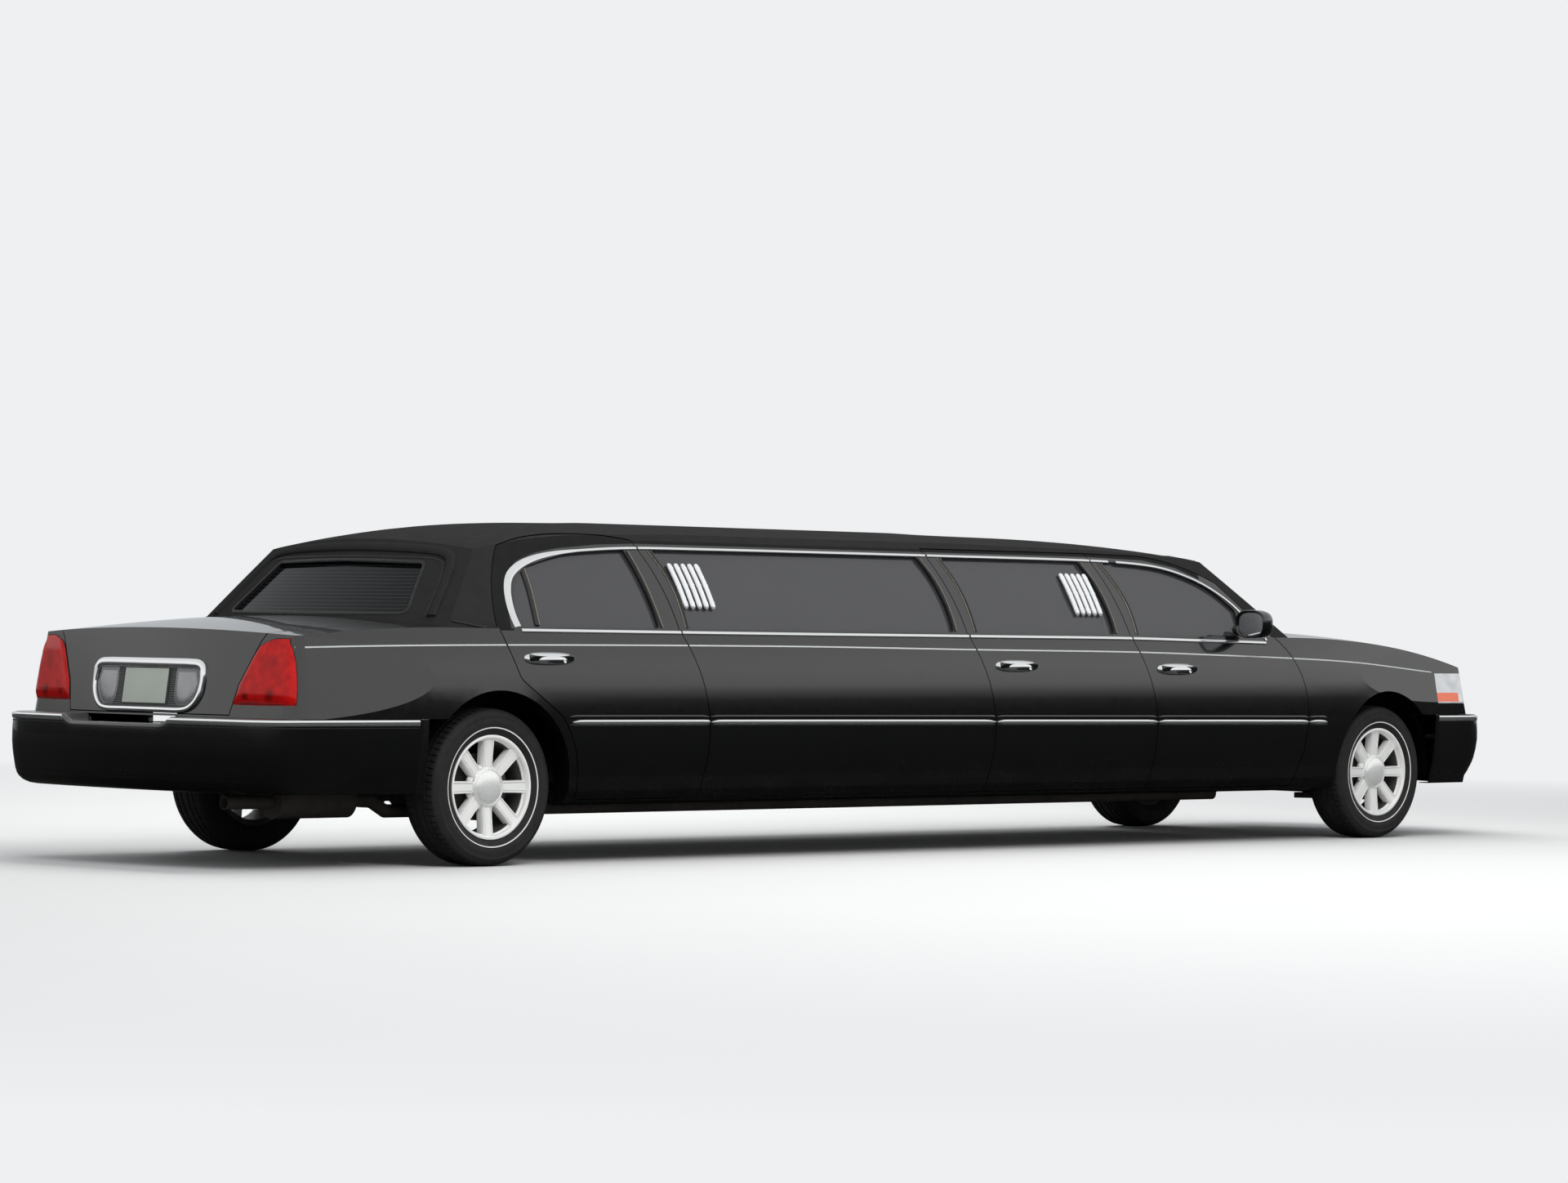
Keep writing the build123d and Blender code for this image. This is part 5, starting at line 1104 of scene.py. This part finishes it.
BACK_GLASS = ((0, 1112), (300, 1113.5), (560, 1115.5), (596, 1117), (612, 1124), (616, 1136), (608, 1152),
              (568, 1230), (528, 1312), (516, 1334), (500, 1345), (440, 1348), (200, 1355), (0, 1357))
BACK_ROLL = ((762, 1103), (742, 1150), (700, 1250), (656, 1336), (630, 1366), (590, 1385), (520, 1398),
             (300, 1410), (0, 1416))
BACK_FOLD = ((730, 1103), (712, 1150), (672, 1248), (630, 1322), (608, 1344), (575, 1357), (515, 1365),
             (300, 1371), (0, 1374))
SCREEN_EDGE = ((0, 1104), (400, 1099), (740, 1087), (786, 1084), (800, 1094), (792, 1116), (720, 1280),
               (664, 1412), (650, 1438), (628, 1448), (400, 1460), (0, 1468))
SCREEN_TRIM = ((806, 1118), (735, 1280), (680, 1412), (664, 1446), (634, 1460), (400, 1473), (0, 1481))
END_STRIPS = (
    # name, outline, side it is cast from, half width, height, finish, slot, tree, closed, profile
    ("back_window_seal", BACK_GLASS, BEHIND, 8.0, 3.0, rubber_seal, "trim", end_skin, True, STRIP),
    ("back_window_roll", BACK_ROLL, BEHIND, 24.0, 12.0, vinyl, "vinyl", roof_skin, False, STRIP),
    ("back_window_fold", BACK_FOLD, BEHIND, 3.0, 1.6, rubber_seal, "trim", roof_skin, False, FLAT),
    ("screen_seal", SCREEN_EDGE, AHEAD, 8.0, 3.0, rubber_seal, "trim", end_skin, True, STRIP),
    ("screen_trim", SCREEN_TRIM, AHEAD, 5.0, 4.0, black_plastic, "trim", roof_skin, False, STRIP),
)
for name, outline, *rest in END_STRIPS:
    cast_strip(name, both_halves(outline), *rest)

# padded roll along the foot of the vinyl on each side, from the back window's corner to the rear door
side_strip("vinyl_foot", ((-3238, 1092), (-3130, 1076), (-3060, 1064), (-2990, 1056), (-2955, 1055)), 11, 5.0,
           rubber_seal, "vinyl", step=12)

for k, (y0, y1) in enumerate(((-640, -60), (30, 610))):
    middle = (y0 + y1) / 2
    for part, line, half, height, lift in (
            ("blade", ((y0, 1132), (middle, 1128), (y1, 1118)), 4.0, 9.0, 3.0),
            ("arm", ((middle, 1130), (middle + 120, 1114), (y1 + 20, 1100)), 5.0, 7.0, 12.0)):
        cast_strip(f"wiper_{part}_{k}", line, AHEAD, half, height, black_plastic, "trim", end_skin, lift=lift,
                   step=16)


# Mirrors and the black corner of the front window

HOUSING = (
    # x, half width, half height, shift towards the car
    (2076, 80, 58, 0), (2072, 82, 60, 0), (2064, 86, 64, 0), (2060.5, 89, 67, 0), (2060.5, 91.5, 70, 0),
    (2064, 94, 72.2, 0), (2072, 95, 73, 0), (2100, 95, 73, 0), (2125, 93.5, 71.5, 1), (2150, 88, 67, 5),
    (2172, 78, 59, 12), (2190, 62, 47, 22), (2202, 42, 32, 32), (2208, 22, 17, 40), (2209.6, 6, 5, 44),
)
GLASS = ((2077, 81, 59, 0), (2073.5, 79.5, 57.5, 0), (2071.5, 60, 43, 0), (2070.5, 30, 21, 0), (2070.2, 4, 3, 0))
MIRROR_Y, MIRROR_Z = 1040, 1125
MIRROR_POWER, MIRROR_POINTS = 2.8, 40
SAIL = (
    # z, rear x, front x
    (1064, 2163, 2300), (1090, 2168, 2282), (1120, 2173, 2258), (1150, 2179, 2234), (1175, 2186, 2214),
    (1192, 2194, 2204),
)


def mirror_bowl(sections, side):
    shape = Shape()
    shape.grid([[Vector((x, side * (MIRROR_Y - shift) + u, MIRROR_Z + v)) * MM
                 for u, v in round_line(w, h, MIRROR_POWER, MIRROR_POINTS)]
                for x, w, h, shift in sections], closed_v=True)
    shape.close(MIRROR_POINTS)
    return shape


for side_name, side in SIDES:
    door = f"front_door_{side_name}"
    housing = mirror_bowl(HOUSING, side).make(f"mirror_housing_{side_name}", paint, door, "paint")
    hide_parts(f"mirror_{side_name}")
    mirror_bowl(GLASS, side).make(f"mirror_glass_{side_name}", mirror_silver, door, "chrome")
    rows = []
    for t in (0.0, 0.2, 0.45, 0.7, 1.0):
        half_w, half_h = 46 - 14 * t * (2 - t) + 6 * t * t, 28 - 9 * t * (2 - t) + 6 * t * t
        rows.append([Vector((2130 - 6 * t + half_w * math.cos(a), side * (905 + 63 * t),
                             1097 + half_h * math.sin(a) + 8 * t)) * MM
                     for a in (k * math.pi / 12 for k in range(24))])
    arm = Shape()
    arm.grid(rows, closed_v=True, caps=True)
    arm.make(f"mirror_arm_{side_name}", black_plastic, door, "trim")
for side_name, side in SIDES:
    rows = []
    for z, x0, x1 in SAIL:
        hits = [skin.from_side(x0 + (x1 - x0) * k / 6, z, side) for k in range(7)]
        rows.append([q + normal * ((0.4 if k in (0, 6) else 2.4) * MM)
                     for k, (q, normal, _) in enumerate(hits)])
    shape = Shape()
    shape.grid(rows)
    thicken(shape.make(f"window_sail_{side_name}", black_plastic, f"front_door_{side_name}", "trim"), 0.002)


# Seats

CUSHION_CELLS = 26
CUSHION_POWER = 6.0


def cushion(name, centre, half, turn=0.0, seams=(), along=0, crown=0.16):
    """Stuffed pad: a rounded form, crowned on its upper face, drawn in at its sewn channels and at its edge.

    centre and half in mm; turn in degrees about the line across the car; seams are places from -1 to 1
    along axis 0 (x) or 1 (y) of the pad."""
    verts, faces, index = [], [], {}

    def shaped(u, v, w):
        s = sum(abs(q) ** CUSHION_POWER for q in (u, v, w)) ** (1 / CUSHION_POWER)
        a, b, c = u / s, v / s, w / s
        pull = 0.03 * (1 - c * c)
        x = half[0] * a * (1 - pull * (1 - b * b))
        y = half[1] * b * (1 - pull * (1 - a * a))
        z = half[2] * c
        if c > 0:
            z *= 1 - crown + crown * (1 - a ** 4) * (1 - b ** 4)
            for seam in seams:
                d = ((a, b)[along] - seam) * half[along] / 9.0
                edge = min(1.0, (1 - abs((b, a)[along])) * 5)
                z -= half[2] * 0.16 * math.exp(-d * d) * c * edge
            piping = (1 - min(1.0, max(abs(a), abs(b)))) * min(half[0], half[1]) / 7.0
            z += 1.4 * math.exp(-(piping - 2.2) ** 2) * c
        return Vector((x, y, z))

    def vert(place):
        key = tuple(round(q, 5) for q in place)
        if key not in index:
            index[key] = len(verts)
            verts.append(shaped(*place))
        return index[key]

    n = CUSHION_CELLS
    steps = [math.tan(math.pi / 4 * (2 * k / n - 1)) for k in range(n + 1)]
    for axis in range(3):
        for sign in (-1, 1):
            for i in range(n):
                for j in range(n):
                    quad = []
                    for du, dv in ((0, 0), (1, 0), (1, 1), (0, 1)):
                        c = [0, 0, 0]
                        c[axis] = sign
                        c[(axis + 1) % 3] = steps[i + du]
                        c[(axis + 2) % 3] = steps[j + dv]
                        quad.append(vert(c))
                    faces.append(quad if sign > 0 else quad[::-1])
    spin = Matrix.Rotation(math.radians(turn), 3, "Y")
    ob = piece(name, [(spin @ q + Vector(centre)) * MM for q in verts], faces, leather, "body")
    return ob


SEAT_FLOOR = 345.6
BEVEL = 8.0


def plinth(name, low, high, top):
    """Seat base over a rectangle from low to high, up to top, with rounded edges and a toe recess."""
    rows = []
    for z, inset in ((SEAT_FLOOR, 16.0), (SEAT_FLOOR + 55, 16.0), (SEAT_FLOOR + 62, 2.0), (top - 4, 2.0),
                     (top, 6.0)):
        ring = []
        for sx, sy in ((-1, -1), (1, -1), (1, 1), (-1, 1)):
            xc = low[0] + inset + BEVEL if sx < 0 else high[0] - inset - BEVEL
            yc = low[1] + inset + BEVEL if sy < 0 else high[1] - inset - BEVEL
            start = math.atan2(sy, sx) - math.pi / 4
            ring.extend(Vector((xc + BEVEL * math.cos(a), yc + BEVEL * math.sin(a), z)) * MM
                        for a in (start + k * math.pi / 8 for k in range(5)))
        rows.append(ring)
    shape = Shape()
    shape.grid(rows, closed_v=True, caps=True)
    return shape.make(name, trim, "body", "leather")


base = plinth("front_seat_base_right", (1455, -665), (1925, -165), 478)
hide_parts("front_seats")
plinth("front_seat_base_left", (1455, 165), (1925, 665), 478)
for side_name, side in SIDES:
    y = side * 415
    seams = (-0.62, -0.3, 0.02, 0.34)
    cushion(f"front_seat_cushion_{side_name}", (1705, y, 543), (246, 256, 66), -3, seams, 1)
    cushion(f"front_seat_back_{side_name}", (1450, y, 850), (272, 252, 56), -97, (-0.55, 0.55), 1, 0.2)
    cushion(f"front_seat_headrest_{side_name}", (1369, y, 1092), (46, 130, 44), -97, (), 0, 0.2)
base = plinth("rear_bench_base", (-2470, -632), (-1935, 632), 520)
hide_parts("cabin_seats")
BENCH_SEAMS = (-0.33, 0.33)
for k, y in enumerate((-424, 0, 424)):
    cushion(f"rear_bench_cushion_{k}", (-2158, y, 570), (232, 206, 62), -3, BENCH_SEAMS, 1)
    cushion(f"rear_bench_back_{k}", (-2392, y, 850), (232, 204, 60), -95, BENCH_SEAMS, 1, 0.2)
plinth("side_bench_base", (-1730, 262), (940, 780), 520)
for k in range(5):
    x = -1470 + k * 538
    cushion(f"side_bench_cushion_{k}", (x, 434, 562), (262, 196, 54), 0, BENCH_SEAMS, 0)
    pad = cushion(f"side_bench_back_{k}", (0, 0, 0), (262, 190, 50), 0, BENCH_SEAMS, 0, 0.2)
    pad.data.transform(Matrix.Translation((x * MM, 0.700, 0.800)) @ Matrix.Rotation(math.radians(97), 4, "X"))


# Floor of the boot between the tub and the inside of the bumper

BOOT_SHELF = ((-4.08, 0.58), (-3.375, 0.58), (-3.375, 0.94), (-4.08, 0.94))
SHELF_HEIGHTS = (0.5965, 0.603)
for side_name, side in SIDES:
    shape = Shape()
    shape.grid([[Vector((x, side * y, z)) for x, y in BOOT_SHELF] for z in SHELF_HEIGHTS],
               closed_v=True, caps=True)
    shape.make(f"boot_shelf_{side_name}", trim, "body", "trim")
